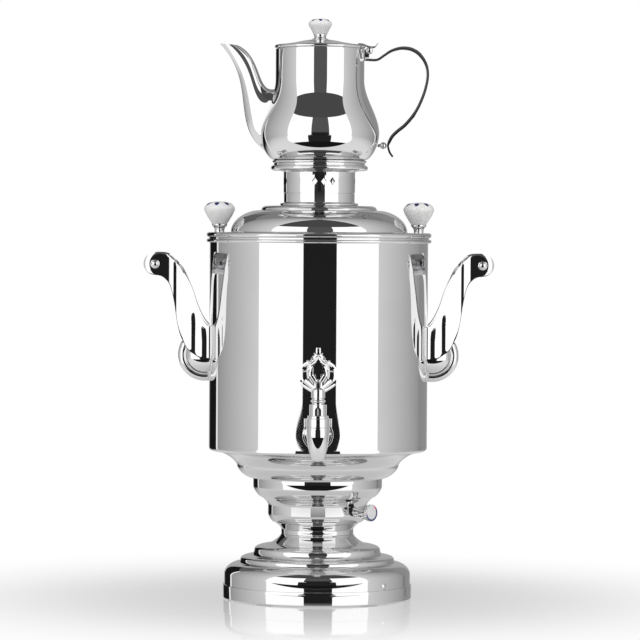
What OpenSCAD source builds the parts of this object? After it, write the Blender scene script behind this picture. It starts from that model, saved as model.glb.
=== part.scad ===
// Electric samovar: a polished tank on a stepped foot, with a tap, two carrying handles,
// a lid, a pot holder and a teapot on top. Front is -Y, up is +Z, millimetres.

/* [Foot] */
// Radius of the ring that the samovar stands on
foot_r = 103.7; // [98:0.1:110]
// Top of the ring, where the stepped cover starts
skirt_z = 15.7; // [13:0.1:20]
// Height of the upright band at the bottom of the cover
cover_band_h = 11.3; // [8:0.1:15]
// Height of the cover's lowest step
step_one_h = 12.3; // [10:0.1:16]
// Height of the cover's second step
step_two_h = 7.9; // [5:0.1:11]
// Height of the cover's third step
step_three_h = 12; // [9:0.1:16]
// Height of the sweep from the third step up to the waist
waist_sweep_h = 11.8; // [9:0.1:16]
// Width of the lowest step, from the band in to the next riser
step_one_w = 14.4; // [11:0.1:17]
// Width of the second step
step_two_w = 13; // [10:0.1:15]
// Width of the third step
step_three_w = 19; // [15:0.1:21]
// Thickness of the spun steel sheet of the foot and the pedestal
sheet = 1.2; // [1:0.1:1.8]
// Radius of a rubber foot
pad_r = 9; // [6:0.5:12]
// Radius of the circle that the rubber feet stand on
pad_ring_r = 80; // [70:0.5:84]

/* [Pedestal] */
// Radius of the waist collar
waist_r = 39.7; // [37:0.1:43]
// Height of the waist collar
waist_h = 5.5; // [4:0.1:8]
// Radius of the lower bowl's upright band
bowl_r = 54.5; // [52:0.1:58]
// Height of the lower bowl, from the collar to its band
bowl_h = 16.8; // [14:0.1:20]
// Height of the lower bowl's band, which carries the thermostat
bowl_band_h = 10; // [9:0.1:13]
// Radius of the upper bowl under the tank
cup_r = 71; // [68:0.1:74]
// Height of the upper bowl, from the lower band to its own band
cup_h = 20; // [17:0.1:24]
// Height of the upper bowl's band
cup_band_h = 9.2; // [6:0.1:12]
// Radius of a tie rod
rod_r = 2.5; // [2:0.1:3]
// Radius of the circle that the tie rods stand on
rod_ring_r = 30; // [27:0.5:32]

/* [Tank] */
// Radius of the tank
tank_r = 120; // [115:0.5:128]
// Height of the tank's flared bottom
flare_h = 36.8; // [32:0.2:42]
// Height of the upright wall
wall_h = 222; // [205:1:250]
// Thickness of the tank's sheet
wall = 1.2; // [1:0.1:1.6]
// Radius of the rolled bead round the tank's rim
rim_bead = 1.75; // [1.4:0.05:2.2]

/* [Lid] */
// Height of the lid's rolled rim
lid_rim_h = 5.6; // [4.8:0.1:7]
// Width of the lid's flat border, from the tank's wall in to the dome
border_w = 23; // [18:0.5:28]
// Height of the dome
dome_h = 24.3; // [20:0.1:30]
// Width of the dome's shoulder
dome_w = 31; // [27:0.5:34]
// Height of the raised disc on the dome
disc_h = 5; // [4:0.1:7]
// Radius of the neck tube
neck_r = 38.9; // [36:0.1:41]
// Height of the neck tube
neck_h = 14; // [11:0.1:18]
// Depth of the lid's collar inside the tank
collar_h = 9; // [6:0.5:14]
// Distance of each lid knob in from the tank's wall
knob_inset = 10.5; // [9:0.1:13]
// Height of a lid knob's metal foot
ferrule_h = 9.4; // [7:0.1:12]
// Height of a lid knob's porcelain
china_h = 24.3; // [20:0.1:28]
// Largest radius of a lid knob's porcelain
china_r = 16.9; // [14:0.1:18]

/* [Pot holder] */
// Height of the holder's tube, up to its flange
holder_h = 22; // [19:0.5:28]
// Radius of the holder's flange
holder_r = 53.3; // [51:0.1:57]
// Height of the holder's flange and rim together
holder_rim_h = 10.6; // [9:0.1:13]
// Width of a diamond vent
vent_w = 6.3; // [4:0.1:7]
// Height of a diamond vent
vent_h = 8.8; // [6:0.1:11]
// Angle between the vents of a group
vent_pitch = 14.3; // [12:0.1:18]
// Number of vent groups
vent_groups = 4; // [2:1:4]
// Direction of the first vent group, from the front
vent_turn = 7; // [0:1:20]

/* [Teapot] */
// Radius of the teapot's belly
belly_r = 65.5; // [61:0.1:70]
// Radius of the teapot's neck
pot_neck_r = 48.7; // [46:0.1:51]
// Radius of the teapot's floor
pot_floor_r = 50; // [48.5:0.1:52]
// Height of the belly's widest line above the floor
belly_h = 28.5; // [24:0.5:34]
// Height of the neck's foot above the belly line
shoulder_h = 60; // [52:0.5:68]
// Height of the upright neck
pot_neck_h = 34; // [29:0.5:40]
// Thickness of the teapot's sheet
pot_sheet = 1; // [0.8:0.05:1.3]
// Reach of the spout's tip from the teapot's centre
spout_reach = 111; // [104:0.5:118]
// Half the width of the spout at its root
spout_root_w = 17; // [14:0.5:20]
// Half the width of the spout at its mouth
spout_mouth_w = 7; // [6:0.2:9]
// Reach of the teapot's handle from the teapot's centre
strap_reach = 117.2; // [108:0.5:124]
// Thickness of the handle's strap
strap_t = 2.6; // [1.8:0.1:3.2]
// Width of the handle's strap
strap_w = 11; // [8:0.5:14]
// Height of the teapot lid's rolled rim
pot_rim_h = 4.6; // [4:0.1:6]
// Height of the teapot knob's porcelain
pot_china_h = 17.8; // [15:0.1:21]
// Largest radius of the teapot knob's porcelain
pot_china_r = 12.9; // [11:0.1:14]

/* [Carrying handles] */
// Reach of the grip from the tank's wall
grip_reach = 58; // [52:0.5:66]
// Height of the grip above the handle's foot
grip_rise = 105; // [95:1:115]
// Height of the handle's foot above the tank's flare
handle_z = 95; // [80:1:110]
// Radius of the round end of a handle plate
plate_end_r = 12.6; // [11:0.1:14]
// Thickness of a handle plate
plate_t = 3; // [2.4:0.1:4]
// Half the distance between the plates at the tank
plate_y = 30; // [27:0.5:33]
// How much further apart the plates are at the grip
plate_flare = 9; // [5:0.5:12]
// Radius of the grip rod
grip_r = 12; // [10:0.1:12.4]
// Outer radius of the keel that wraps the handle's foot
keel_r = 29; // [26:0.5:32]
// Thickness of the keel
keel_t = 10.6; // [8:0.2:12]
// Half the width of the keel
keel_w = 16; // [12:0.5:20]

/* [Tap] */
// Distance of the tap's upright axis from the tank's wall
tap_reach = 38; // [34:0.5:44]
// Height of the tap's shank above the tank's flare
tap_z = 17; // [14:0.5:22]
// Radius of the water way
water_r = 4; // [3:0.1:4.6]
// Radius of the shank
shank_r = 8; // [7:0.1:9]
// Radius of the rosette round the shank
rosette_r = 16.6; // [14:0.1:19]
// Radius of the spout's top, under the seam
spigot_r = 12.3; // [11.4:0.1:13]
// Length of the tapered spout below the seam
spigot_h = 35.7; // [30:0.1:40]
// Height of the collar above the seam
tap_collar_h = 10; // [8:0.1:12]
// Radius of the key's stem
stem_r = 5; // [4:0.1:5.5]
// Height of the key's openwork
key_h = 42.8; // [38:0.1:48]
// Half the width of the key's openwork
key_w = 20.5; // [18:0.1:23]
// Thickness of the key's openwork
key_t = 4.4; // [3:0.1:5.5]

/* [Thermostat] */
// Direction of the thermostat knob, from the front to the right
dial_turn = 46; // [30:1:60]
// Length of the knob
dial_l = 25; // [20:0.5:30]
// Radius of the knob's face
dial_r = 9.1; // [8:0.1:10.5]
// Radius of the knob's foot
dial_foot_r = 5.3; // [5:0.1:6]
// Number of grooves round the knob
dial_grooves = 12; // [8:1:16]
// Radius of the thermostat's shaft
dial_shaft_r = 3; // [2.5:0.1:3.2]

/* [Heating] */
// Distance of the heating loop in from the upper bowl's wall
loop_inset = 16; // [14:0.5:22]
// Radius of the heating element's tube
element_r = 4; // [3:0.1:4.4]
// Height of the heating loop above the tank's floor
loop_h = 17; // [12:0.5:22]

/* [Fits] */
// Radial clearance of a shaft that turns in its bore
running = 0.05; // [0.03:0.01:0.08]
// Clearance of a screw, stud or rod in its hole
loose = 0.1; // [0.05:0.05:0.25]
// Gap under a piece that lifts off
seat = 0.3; // [0.2:0.05:0.4]
// Radial clearance of a collar that slips inside another piece
slip = 0.5; // [0.4:0.05:0.8]

/* [Hidden] */
$fn = 72;

arc_steps = 7;
// A hair of overlap, and the length of a cut that goes right through
bit = 0.01;
beyond = 200;
steel = "#c9ccd0";
bright = "#dfe2e5";
china = "#f7f7f4";
black = "#202225";
copper = "#b87f4f";

// Heights of the stacked pieces, from the table up
skirt_foot_z = 1;
gland_z = skirt_z + cover_band_h / 2;
gland_r = 4.2;
plate_z = 4;
base_plate_t = 1.5;
cover_r = foot_r - sheet - loose;
step_one_z = skirt_z + cover_band_h;
step_two_z = step_one_z + step_one_h;
step_three_z = step_two_z + step_two_h;
waist_sweep_z = step_three_z + step_three_h;
waist_z = waist_sweep_z + waist_sweep_h;
bowl_z = waist_z + waist_h;
bowl_band_z = bowl_z + bowl_h;
cup_z = bowl_band_z + bowl_band_h;
cup_band_z = cup_z + cup_h;
tank_z = cup_band_z + cup_band_h;
wall_z = tank_z + flare_h;
rim_z = wall_z + wall_h;
bead_z = rim_z + rim_bead;
lid_z = bead_z + rim_bead + seat;
lid_top_z = lid_z + 1.75 + lid_rim_h;
dome_top_z = lid_top_z + dome_h;
disc_z = dome_top_z + disc_h;
neck_top_z = disc_z + neck_h;
holder_z = neck_top_z + seat;
holder_flange_z = holder_z + holder_h;
holder_top_z = holder_flange_z + holder_rim_h;
pot_ring_z = holder_top_z + seat;
pot_ring_h = 3.2;
pot_z = pot_ring_z + pot_ring_h;
belly_z = pot_z + belly_h;
pot_neck_z = belly_z + shoulder_h;
pot_rim_z = pot_neck_z + pot_neck_h;

// Water tap
tap_y = tank_r + tap_reach;
shank_z = wall_z + tap_z;
seam_z = shank_z + 10.2;
collar_top_z = seam_z + tap_collar_h;
bonnet_r = 9.1;
bonnet_h = 14.7;
bonnet_top_z = collar_top_z + bonnet_h;
stem_bead_h = 7;
hub_r = 7.3;
hub_h = 10;
hub_z = bonnet_top_z + running + stem_bead_h;
key_z = hub_z + hub_h;
plug_r = 7;
plug_flare = 1.2;
plug_low = 8;
lug_reach = 2.6;
lug_w = 6.8;
bonnet_base_h = 3;
slot_r = 3.2;
slot_h = bonnet_h - bonnet_base_h - slot_r - 3;
key_drawn = [20.5, 42.8];

// Carrying handles
foot_z = wall_z + handle_z;
grip_x = tank_r + grip_reach;
grip_z = foot_z + grip_rise;
grip_y = plate_y + plate_flare;
keel_x = tank_r + 4.9;
keel_z = foot_z + 3.8;
block_r = keel_r - keel_t + 1;
block_w = plate_y - plate_t / 2 - 2.5;
block_edge = 5;
bolt_r = 3;
cross_x = keel_x + 9;
cross_z = keel_z + 4;
stud_r = 2.5;
stud_zs = [foot_z - 2, foot_z + 14];

// Thermostat
dial_z = bowl_band_z + bowl_band_h / 2;
neck_bush_r = 3.9;
washer_t = 1.4;
dial_lip = 0.3;
knob_start = bowl_r + 0.9 + washer_t + seat;

// Lid knobs and teapot hinge
dome_r = tank_r - border_w;
knob_x = tank_r - knob_inset;
screw_r = 2.5;
hinge_x = pot_neck_r + 5.4;
hinge_z = pot_rim_z - 1.9;
barrel_r = 3.6;
pin_r = 1.2;
barrel_w = 7;
pot_lid_z = pot_rim_z + seat;
pot_lid_top_z = pot_lid_z + pot_rim_h;

// Quarter of an ellipse about c from p to q; a slack above 1 flattens it
function quarter(p, q, c, slack) = [for (i = [0:arc_steps]) let (t = 90 * i / arc_steps)
    c + (p - c) * pow(cos(t), slack) + (q - c) * pow(sin(t), slack)];
// Curve that leaves p upright and arrives level at q
function rise(p, q, slack = 1) = quarter(p, q, [q.x, p.y], slack);
// Curve that leaves p level and arrives upright at q
function reach(p, q, slack = 1) = quarter(p, q, [p.x, q.y], slack);
// S-curve from p to q that is upright at both ends
function sway(p, q) = [for (i = [0:2 * arc_steps]) let (t = i / (2 * arc_steps))
    [p.x + (q.x - p.x) * (1 - cos(180 * t)) / 2, p.y + (q.y - p.y) * t]];
// Arc of radius r about c, between two angles
function arc(c, r, from, to) = [for (i = [0:arc_steps]) let (t = from + (to - from) * i / arc_steps)
    c + r * [cos(t), sin(t)]];
// The same points without neighbours that coincide
function tidy(p) = [for (i = [0:len(p) - 1]) if (i == 0 || norm(p[i] - p[i - 1]) > 0.02) p[i]];
function backwards(p) = [for (i = [len(p) - 1:-1:0]) p[i]];
// Left-hand normal of the path at point i
function side(p, i) = let (d = p[min(i + 1, len(p) - 1)] - p[max(i - 1, 0)])
    [-d.y, d.x] / norm(d);
function shifted(p, t) = [for (i = [0:len(p) - 1]) p[i] + t * side(p, i)];
// Closed outline of a strip of width w along the path
function strip(p, w) = concat(shifted(p, w / 2), backwards(shifted(p, -w / 2)));
// Closed outline of a wall whose outer face is the path
function walled(p, t) = concat(p, backwards(shifted(p, t)));
// Smooth curve through the points, with steps points in each stretch
function through(p, steps = 5) = let (last = len(p) - 1) concat([for (i = [0:last - 1])
    let (a = p[max(i - 1, 0)], b = p[i], c = p[i + 1], d = p[min(i + 2, last)])
    for (s = [0:steps - 1]) let (t = s / steps)
        (2 * b + (c - a) * t + (2 * a - 5 * b + 4 * c - d) * t * t
            + (3 * b - a - 3 * c + d) * t * t * t) / 2], [p[last]]);
// Point of the cubic Bezier curve with control points p
function bezier(p, t) = pow(1 - t, 3) * p[0] + 3 * t * pow(1 - t, 2) * p[1]
    + 3 * t * t * (1 - t) * p[2] + pow(t, 3) * p[3];

// Outer faces of the spun pieces, bottom to top, as [radius, height]
cover_path = tidy(concat([[cover_r, skirt_z - 7]],
    rise([cover_r, step_one_z], [cover_r - step_one_w, step_two_z], 1.1),
    reach([cover_r - step_one_w, step_two_z], [cover_r - step_one_w - 3.5, step_two_z + 4.2]),
    rise([cover_r - step_one_w - 3.5, step_two_z + 4.2],
        [cover_r - step_one_w - step_two_w, step_three_z]),
    reach([cover_r - step_one_w - step_two_w, step_three_z],
        [cover_r - step_one_w - step_two_w - 5.8, step_three_z + 6.8]),
    rise([cover_r - step_one_w - step_two_w - 5.8, step_three_z + 6.8],
        [cover_r - step_one_w - step_two_w - step_three_w, waist_sweep_z]),
    reach([cover_r - step_one_w - step_two_w - step_three_w, waist_sweep_z],
        [waist_r, waist_z], 1.5)));
bowl_mid = [bowl_r - 5.5, bowl_z + bowl_h * 0.48];
cup_mid = [(bowl_r + cup_r) / 2, cup_z + cup_h * 0.44];
bowl_path = tidy(concat(rise([waist_r, bowl_z], bowl_mid, 1.5),
    reach(bowl_mid, [bowl_r, bowl_band_z], 1.5),
    rise([bowl_r, cup_z], cup_mid, 1.5), reach(cup_mid, [cup_r, cup_band_z], 1.5),
    [[cup_r, tank_z]]));
flare_low = [cup_r + 18, tank_z + flare_h * 0.38];
flare_high = [tank_r - 8, tank_z + flare_h * 0.85];
bottom_path = tidy(concat([[0, tank_z], [cup_r + 0.6, tank_z]],
    reach([cup_r + 0.6, tank_z], flare_low, 1.3), rise(flare_low, flare_high, 1.3),
    reach(flare_high, [tank_r, wall_z - 1.5]), [[tank_r, wall_z]]));
pot_path = tidy(concat([[0, pot_z]], reach([pot_floor_r, pot_z], [belly_r, belly_z], 1.2),
    sway([belly_r, belly_z], [pot_neck_r, pot_neck_z]), [[pot_neck_r, pot_rim_z]]));

// Turns its children so that +X points outwards, at this angle from the front
module facing(turn) rotate([0, 0, turn - 90]) children();
// Lays an X-Z outline along Y, of this width, centred
module across(width) rotate([90, 0, 0]) linear_extrude(width, center = true) children();
module spun(points) rotate_extrude() polygon(points);
// Rod of radius r along X, from one place to another
module rod_x(r, from, to) translate([from, 0, 0]) rotate([0, 90, 0]) cylinder(r = r, h = to - from);
// Rod of radius r along Y, centred
module rod_y(r, length) rotate([90, 0, 0]) cylinder(r = r, h = length, center = true);
module at_rods() for (turn = [14, 134, 254]) facing(turn) translate([rod_ring_r, 0, 0]) children();
module at_pads() for (turn = [45:90:315]) facing(turn) translate([pad_ring_r, 0, 0]) children();

// ---- Foot and pedestal ----

module rubber_feet() color(black) at_pads() {
    translate([0, 0, 0.8]) cylinder(r = pad_r, h = plate_z - 0.8);
    cylinder(r = pad_r - 0.8, h = 0.8 + bit);
    cylinder(r = 3, h = plate_z + base_plate_t + 0.2);
    translate([0, 0, plate_z + base_plate_t + 0.2]) cylinder(r1 = 4.4, r2 = 3, h = 2);
}

module base_plate() color(steel) difference() {
    translate([0, 0, plate_z]) cylinder(r = cover_r - sheet - loose, h = base_plate_t);
    at_pads() cylinder(r = 3 + loose, h = 20);
    at_rods() cylinder(r = rod_r + loose, h = 20);
}

module foot_skirt() color(bright) spun([[foot_r - 7, skirt_foot_z + 1.6], [foot_r - 7, plate_z],
    [foot_r - sheet, plate_z], [foot_r - sheet, skirt_z], [foot_r, skirt_z],
    [foot_r, skirt_foot_z + 0.6], [foot_r - 0.6, skirt_foot_z], [foot_r - 1.8, skirt_foot_z],
    [foot_r - 2.6, skirt_foot_z + 1.6]]);

module foot_cover() color(bright) difference() {
    spun(walled(cover_path, sheet));
    facing(180) translate([0, 0, gland_z]) rod_x(gland_r + loose, cover_r - 12, foot_r + 12);
    for (turn = [45, 225]) facing(turn) translate([0, 0, skirt_z + 4])
        rod_x(1.5 + loose, cover_r - 6, cover_r + 6);
}

module cover_screws() color(bright) for (turn = [45, 225]) facing(turn)
    translate([0, 0, skirt_z + 4]) {
        rod_x(1.5, cover_r - 5, cover_r + 0.2);
        translate([cover_r + 0.1, 0, 0]) rotate([0, 90, 0])
            spun(concat([[0, 0], [3.3, 0]], arc([0, -4.2], 5.4, 52, 90)));
    }

module cord_gland() color(black) facing(180) translate([0, 0, gland_z]) difference() {
    union() {
        rod_x(gland_r, cover_r - 4.5, cover_r + 0.3);
        translate([cover_r + 0.05, 0, 0]) rotate([0, 90, 0]) cylinder(r1 = 5.4, r2 = 4.8, h = 2.4);
        rod_x(5.4, cover_r - 4.5, cover_r - sheet - 0.3);
    }
    rod_x(gland_r - 1, cover_r - 8, cover_r + 4);
}

module terminal_block() color(china) translate([0, 48, plate_z + base_plate_t]) difference() {
    union() {
        translate([-22, -9, 0]) cube([44, 18, 9]);
        for (x = [-14, 0, 14]) translate([x, 0, 9 - bit]) cylinder(r = 5.5, h = 5);
    }
    for (x = [-14, 0, 14]) {
        translate([x, -10, 6]) rotate([-90, 0, 0]) cylinder(r = 2, h = 20);
        translate([x, 0, 6]) cylinder(r = 2.4, h = 10);
    }
}

module waist_collar() color(bright) spun(concat(
    [[waist_r - 3, waist_z], [waist_r - 0.5, waist_z], [waist_r, waist_z + 0.6]],
    [[waist_r, bowl_z - 0.6], [waist_r - 0.5, bowl_z], [waist_r - 3, bowl_z]]));

module pedestal_bowl() color(bright) difference() {
    union() {
        spun(walled(bowl_path, sheet));
        spun([[cup_r - 7.5, tank_z - sheet], [cup_r - sheet + bit, tank_z - sheet],
            [cup_r - sheet + bit, tank_z], [cup_r - 7.5, tank_z]]);
    }
    facing(dial_turn) translate([0, 0, dial_z]) rod_x(neck_bush_r + loose, bowl_r - 12, bowl_r + 6);
}

module tie_rods() color(steel) at_rods()
    translate([0, 0, skirt_foot_z]) cylinder(r = rod_r, h = tank_z - skirt_foot_z);

module tie_nuts() color(steel) at_rods() difference() {
    translate([0, 0, skirt_foot_z + 0.2])
        cylinder(r = rod_r + 2.1, h = plate_z - skirt_foot_z - 0.2, $fn = 6);
    cylinder(r = rod_r + loose / 2, h = plate_z);
}

// ---- Thermostat ----

module thermostat_body() color(china) facing(dial_turn) translate([0, 0, dial_z]) difference() {
    union() {
        translate([bowl_r - 35, -12, -10]) cube([24, 24, 20]);
        rod_x(6, bowl_r - 11 - bit, bowl_r - sheet - 0.9);
        rod_x(neck_bush_r, bowl_r - 11 - bit, bowl_r + 0.9 + washer_t);
    }
    rod_x(dial_shaft_r + running, bowl_r - 13, bowl_r + 6);
}

module thermostat_washer() color(black) facing(dial_turn) translate([0, 0, dial_z]) difference() {
    rod_x(dial_foot_r, bowl_r + loose, bowl_r + 0.9 + washer_t);
    rod_x(neck_bush_r + loose, bowl_r - 3, bowl_r + 6);
}

module dial_shaft() color(steel) facing(dial_turn) translate([0, 0, dial_z])
    rod_x(dial_shaft_r, bowl_r - 12.5, knob_start + dial_l - 6);

module dial_knob() color(bright) facing(dial_turn) translate([0, 0, dial_z]) difference() {
    translate([knob_start, 0, 0]) rotate([0, 90, 0]) spun([[0, 0], [dial_foot_r - 0.6, 0],
        [dial_foot_r, 0.6], [dial_foot_r, 3], [dial_foot_r + 0.5, 4], [dial_r - 0.8, dial_l - 5],
        [dial_r, dial_l - 4.2], [dial_r, dial_l - 0.4], [dial_r - 0.15, dial_l],
        [dial_r - dial_lip, dial_l], [dial_r - dial_lip, dial_l - 0.8], [0, dial_l - 0.8]]);
    rod_x(dial_shaft_r + loose / 2, knob_start - 1, knob_start + dial_l - 5.5);
    for (i = [0:dial_grooves - 1]) translate([knob_start, 0, 0])
        rotate([360 * i / dial_grooves, 0, 0])
            translate([5, 0, dial_foot_r + 1.4]) rotate([0, 90 - 7.5, 0])
                cylinder(r = 1.15, h = dial_l - 9.5);
}

module dial_face() color(china) facing(dial_turn) translate([0, 0, dial_z])
    rod_x(dial_r - dial_lip - 0.05, knob_start + dial_l - 0.8, knob_start + dial_l - 0.05);

module safety_cutout() color(black) translate([-6, 26, tank_z]) {
    translate([0, 0, -7]) cylinder(r = 9, h = 7);
    for (y = [-4, 4]) translate([-1, y - 3, -16]) cube([0.8, 6, 9 + bit]);
}

// ---- Tank ----

module tank_bottom() color(bright) difference() {
    spun(walled(bottom_path, wall));
    at_elements() translate([0, 0, tank_z - 5]) cylinder(r = element_r + loose, h = 10);
}

module tank_wall() color(bright) difference() {
    union() {
        spun([[tank_r - wall, wall_z], [tank_r, wall_z], [tank_r, rim_z + rim_bead],
            [tank_r - wall, rim_z + rim_bead]]);
        translate([0, 0, bead_z]) rotate_extrude()
            translate([tank_r + rim_bead - 0.3, 0]) circle(r = rim_bead);
    }
    facing(0) translate([0, 0, shank_z]) rod_x(shank_r + loose, tank_r - 12, tank_r + 6);
    for (side = [-1, 1]) facing(90 * side) for (z = stud_zs) translate([0, 0, z])
        rod_x(stud_r + loose, tank_r - 12, tank_r + 6);
}

loop_r = cup_r - loop_inset;
loop_gap = 24;
module at_elements() for (turn = [180 - loop_gap, 180 + loop_gap]) facing(turn)
    translate([loop_r, 0, 0]) children();

module heating_element() color(copper) {
    translate([0, 0, tank_z + loop_h]) rotate([0, 0, 90 + loop_gap])
        rotate_extrude(angle = 360 - 2 * loop_gap) translate([loop_r, 0]) circle(r = element_r);
    at_elements() {
        translate([0, 0, tank_z - 12]) cylinder(r = element_r, h = 12 + 4);
        translate([0, 0, tank_z + 4]) cylinder(r = element_r + 0.6, h = loop_h + element_r - 3);
        translate([0, 0, tank_z - 18]) cylinder(r = 1.2, h = 8);
    }
}

module element_nuts() color(steel) at_elements() difference() {
    union() {
        translate([0, 0, tank_z - 5]) cylinder(r = element_r + 3.5, h = 5, $fn = 6);
        translate([0, 0, tank_z + wall]) cylinder(r = element_r + 4, h = 2);
    }
    translate([0, 0, tank_z - 9]) cylinder(r = element_r + loose / 2, h = 18);
}

// ---- Tap ----

tap_path = tidy(concat([[0, seam_z - spigot_h], [6.1, seam_z - spigot_h]],
    [for (t = [0.25:0.25:1]) [6.1 + (spigot_r - 6.1) * sin(90 * pow(t, 0.85)), seam_z - spigot_h * (1 - t)]],
    [[spigot_r, seam_z], [spigot_r - 0.5, seam_z + 0.4], [spigot_r + 0.1, seam_z + 0.9],
    [spigot_r + 0.1, collar_top_z - 0.8], [spigot_r - 0.7, collar_top_z], [0, collar_top_z]]));

module tap_body() color(bright) difference() {
    union() {
        translate([0, -tap_y, 0]) spun(tap_path);
        translate([0, -tap_y, (seam_z + collar_top_z) / 2 + 0.2])
            cube([2 * (spigot_r + lug_reach), lug_w, tap_collar_h - 0.8], center = true);
        facing(0) translate([0, 0, shank_z]) {
            rod_x(shank_r, tank_r - 22, tank_r + 12);
            translate([tank_r + 3.8, 0, 0]) rotate([0, 90, 0])
                cylinder(r1 = shank_r + 1.6, r2 = shank_r - 0.6, h = tap_reach - 12);
        }
    }
    facing(0) translate([0, 0, shank_z]) rod_x(water_r, tank_r - 24, tap_y);
    translate([0, -tap_y, seam_z - spigot_h - 1]) cylinder(r = water_r, h = spigot_h);
    plug_solid(running, 1);
}

// Tapered plug of the tap, grown by a clearance all round, with its top raised by over
plug_h = collar_top_z - shank_z + plug_low;
module plug_solid(grow, over) translate([0, -tap_y, shank_z - plug_low - grow])
    cylinder(r1 = plug_r + grow, r2 = plug_r + plug_flare * (plug_h + over) / plug_h + grow,
        h = plug_h + over + grow);

module tap_rosette() color(bright) facing(0) translate([tank_r - 0.2, 0, shank_z])
    difference() {
        rotate([0, 90, 0]) spun([[shank_r + loose, 0], [rosette_r, 0], [rosette_r, 1.6],
            [rosette_r - 2, 3], [rosette_r - 5, 3.6], [shank_r + loose, 3.8]]);
        translate([-tank_r, 0, -30]) cylinder(r = tank_r + 0.2, h = 60);
    }

module tap_gasket() color(black) facing(0) translate([0, 0, shank_z]) difference() {
    rod_x(shank_r + 5, tank_r - 5, tank_r - 2);
    rod_x(shank_r + loose, tank_r - 8, tank_r);
}

module tap_nut() color(steel) facing(0) translate([0, 0, shank_z]) difference() {
    translate([tank_r - 12, 0, 0]) rotate([0, 90, 0]) cylinder(r = shank_r + 5, h = 7, $fn = 6);
    rod_x(shank_r + loose / 2, tank_r - 14, tank_r);
}

module tap_bonnet() color(bright) translate([0, -tap_y, 0]) difference() {
    spun([[stem_r + running, bonnet_top_z - 2], [stem_r + running, bonnet_top_z],
        [bonnet_r - 0.7, bonnet_top_z], [bonnet_r, bonnet_top_z - 0.7],
        [bonnet_r, collar_top_z + bonnet_base_h], [bonnet_r + 1.9, collar_top_z + bonnet_base_h],
        [bonnet_r + 1.9, collar_top_z], [bonnet_r - 1.6, collar_top_z],
        [bonnet_r - 1.6, bonnet_top_z - 2]]);
    translate([0, 0, collar_top_z + bonnet_base_h]) {
        translate([-slot_r, -20, 0]) cube([2 * slot_r, 20, slot_h]);
        translate([0, 0, slot_h]) rotate([90, 0, 0]) cylinder(r = slot_r, h = 20);
    }
}

module tap_plug() color(steel) difference() {
    union() {
        plug_solid(0, -running);
        translate([0, -tap_y, collar_top_z - 1]) cylinder(r = stem_r, h = bonnet_h + 1 + running);
    }
    translate([0, -tap_y, shank_z]) rotate([0, 90, 0]) cylinder(r = water_r, h = 40, center = true);
    translate([0, -tap_y, shank_z - plug_low - 2]) cylinder(r = water_r, h = plug_low + 2);
}

// Half outlines of the key's openwork, as [x, height above the hub], at the size of key_drawn
function key_point(p) = [p.x * key_w / key_drawn.x, key_z + p.y * key_h / key_drawn.y];
function key_curve(p) = through([for (q = p) key_point(q)], 4);
hoop = [[9.2, 25.6], [12.2, 24.7], [15.1, 22.4], [17.4, 18.9], [18.6, 13.8], [17.8, 9.2], [15.8, 6.4]];
hoop_leaf = [[8.2, 21.4], [11.6, 19], [16.4, 17.4]];
arm = [[3.4, -0.6], [9.6, 4.3], [14.9, 8.4]];
arm_rib = [[5.6, -3.6], [12.9, 0.6], [18.8, 4.6]];
onion = [[0, 31.2], [2.6, 27.6], [5.6, 25.2], [7.7, 22.6], [7.9, 19.2], [8.5, 15.6], [8.2, 12.6],
    [5.9, 8.3], [3.5, 5], [3.2, 0.6]];
onion_leaf = [[6.3, 15.6], [5, 12.2], [2.8, 8.2], [0, 5.6]];
crest = [[9.6, 27], [7.6, 28.2], [5.6, 31.2], [3.2, 34.2], [0, 36]];
// Round tips of the leaves, as [x, height, radius]
tips = [[11.5, 27.7, 1.5], [10.6, 25.6, 1.4], [5.4, 33.6, 1.3], [3.5, 36.2, 1.3]];

module key_half() {
    polygon(strip(key_curve(hoop), 3.1));
    polygon(strip(key_curve(hoop_leaf), 1.9));
    polygon(strip(key_curve(arm), 3.6));
    polygon(strip(key_curve(arm_rib), 2.1));
    polygon(strip(key_curve(onion), 2.2));
    polygon(strip(key_curve(onion_leaf), 1.5));
    polygon(strip(key_curve(crest), 2.6));
    polygon([for (p = [[4.6, 29], [8, 27.6], [9.4, 24.6], [6.6, 24]]) key_point(p)]);
    polygon([for (p = [[0, 31], [4.5, 28], [5.5, 32], [0, 36]]) key_point(p)]);
    for (tip = tips) translate(key_point(tip)) circle(r = tip.z);
    polygon([for (p = [[0, -1], [6.4, -1], [5.4, 1.6], [2.6, 3], [1.8, 6.6], [0, 6.6]]) key_point(p)]);
}

module tap_key() color(bright) translate([0, -tap_y, 0]) {
    spun(concat([[0, bonnet_top_z + running], [stem_r + 1.5, bonnet_top_z + running]],
        arc([6.3, bonnet_top_z + 3.2], 1.3, -90, 90), [[hub_r - 0.8, hub_z - 1], [hub_r, hub_z - 0.2],
        [hub_r, key_z - 0.6], [hub_r - 1.2, key_z], [0, key_z]]));
    across(key_t) difference() {
        union() {
            key_half();
            mirror([1, 0]) key_half();
            translate(key_point([0, 39.2])) circle(r = 3);
            translate(key_point([-2.4, 38.4])) square([4.8, 4.4]);
        }
        translate(key_point([0, 39.4])) circle(r = 1.3);
    }
}

// ---- Carrying handles, drawn on the right ----

// Point of the S-shaped plate: u is the reach from the tank, v the height from the foot
function s_point(p) = [tank_r + p.x * grip_reach, foot_z + p.y * grip_rise];
function s_curve(p) = through([for (q = p) s_point(q)], 5);
s_outer = [[-0.12, -0.016], [0.024, -0.012], [0.191, 0.015], [0.345, 0.073], [0.462, 0.169],
    [0.569, 0.338], [0.645, 0.594], [0.707, 0.75], [0.8, 0.837], [1, 0.883]];
s_inner = [[1, 1.119], [0.85, 1.113], [0.748, 1.085], [0.614, 1.007], [0.453, 0.86], [0.331, 0.703],
    [0.248, 0.568], [0.147, 0.444], [0.045, 0.365], [-0.12, 0.338]];

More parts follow.
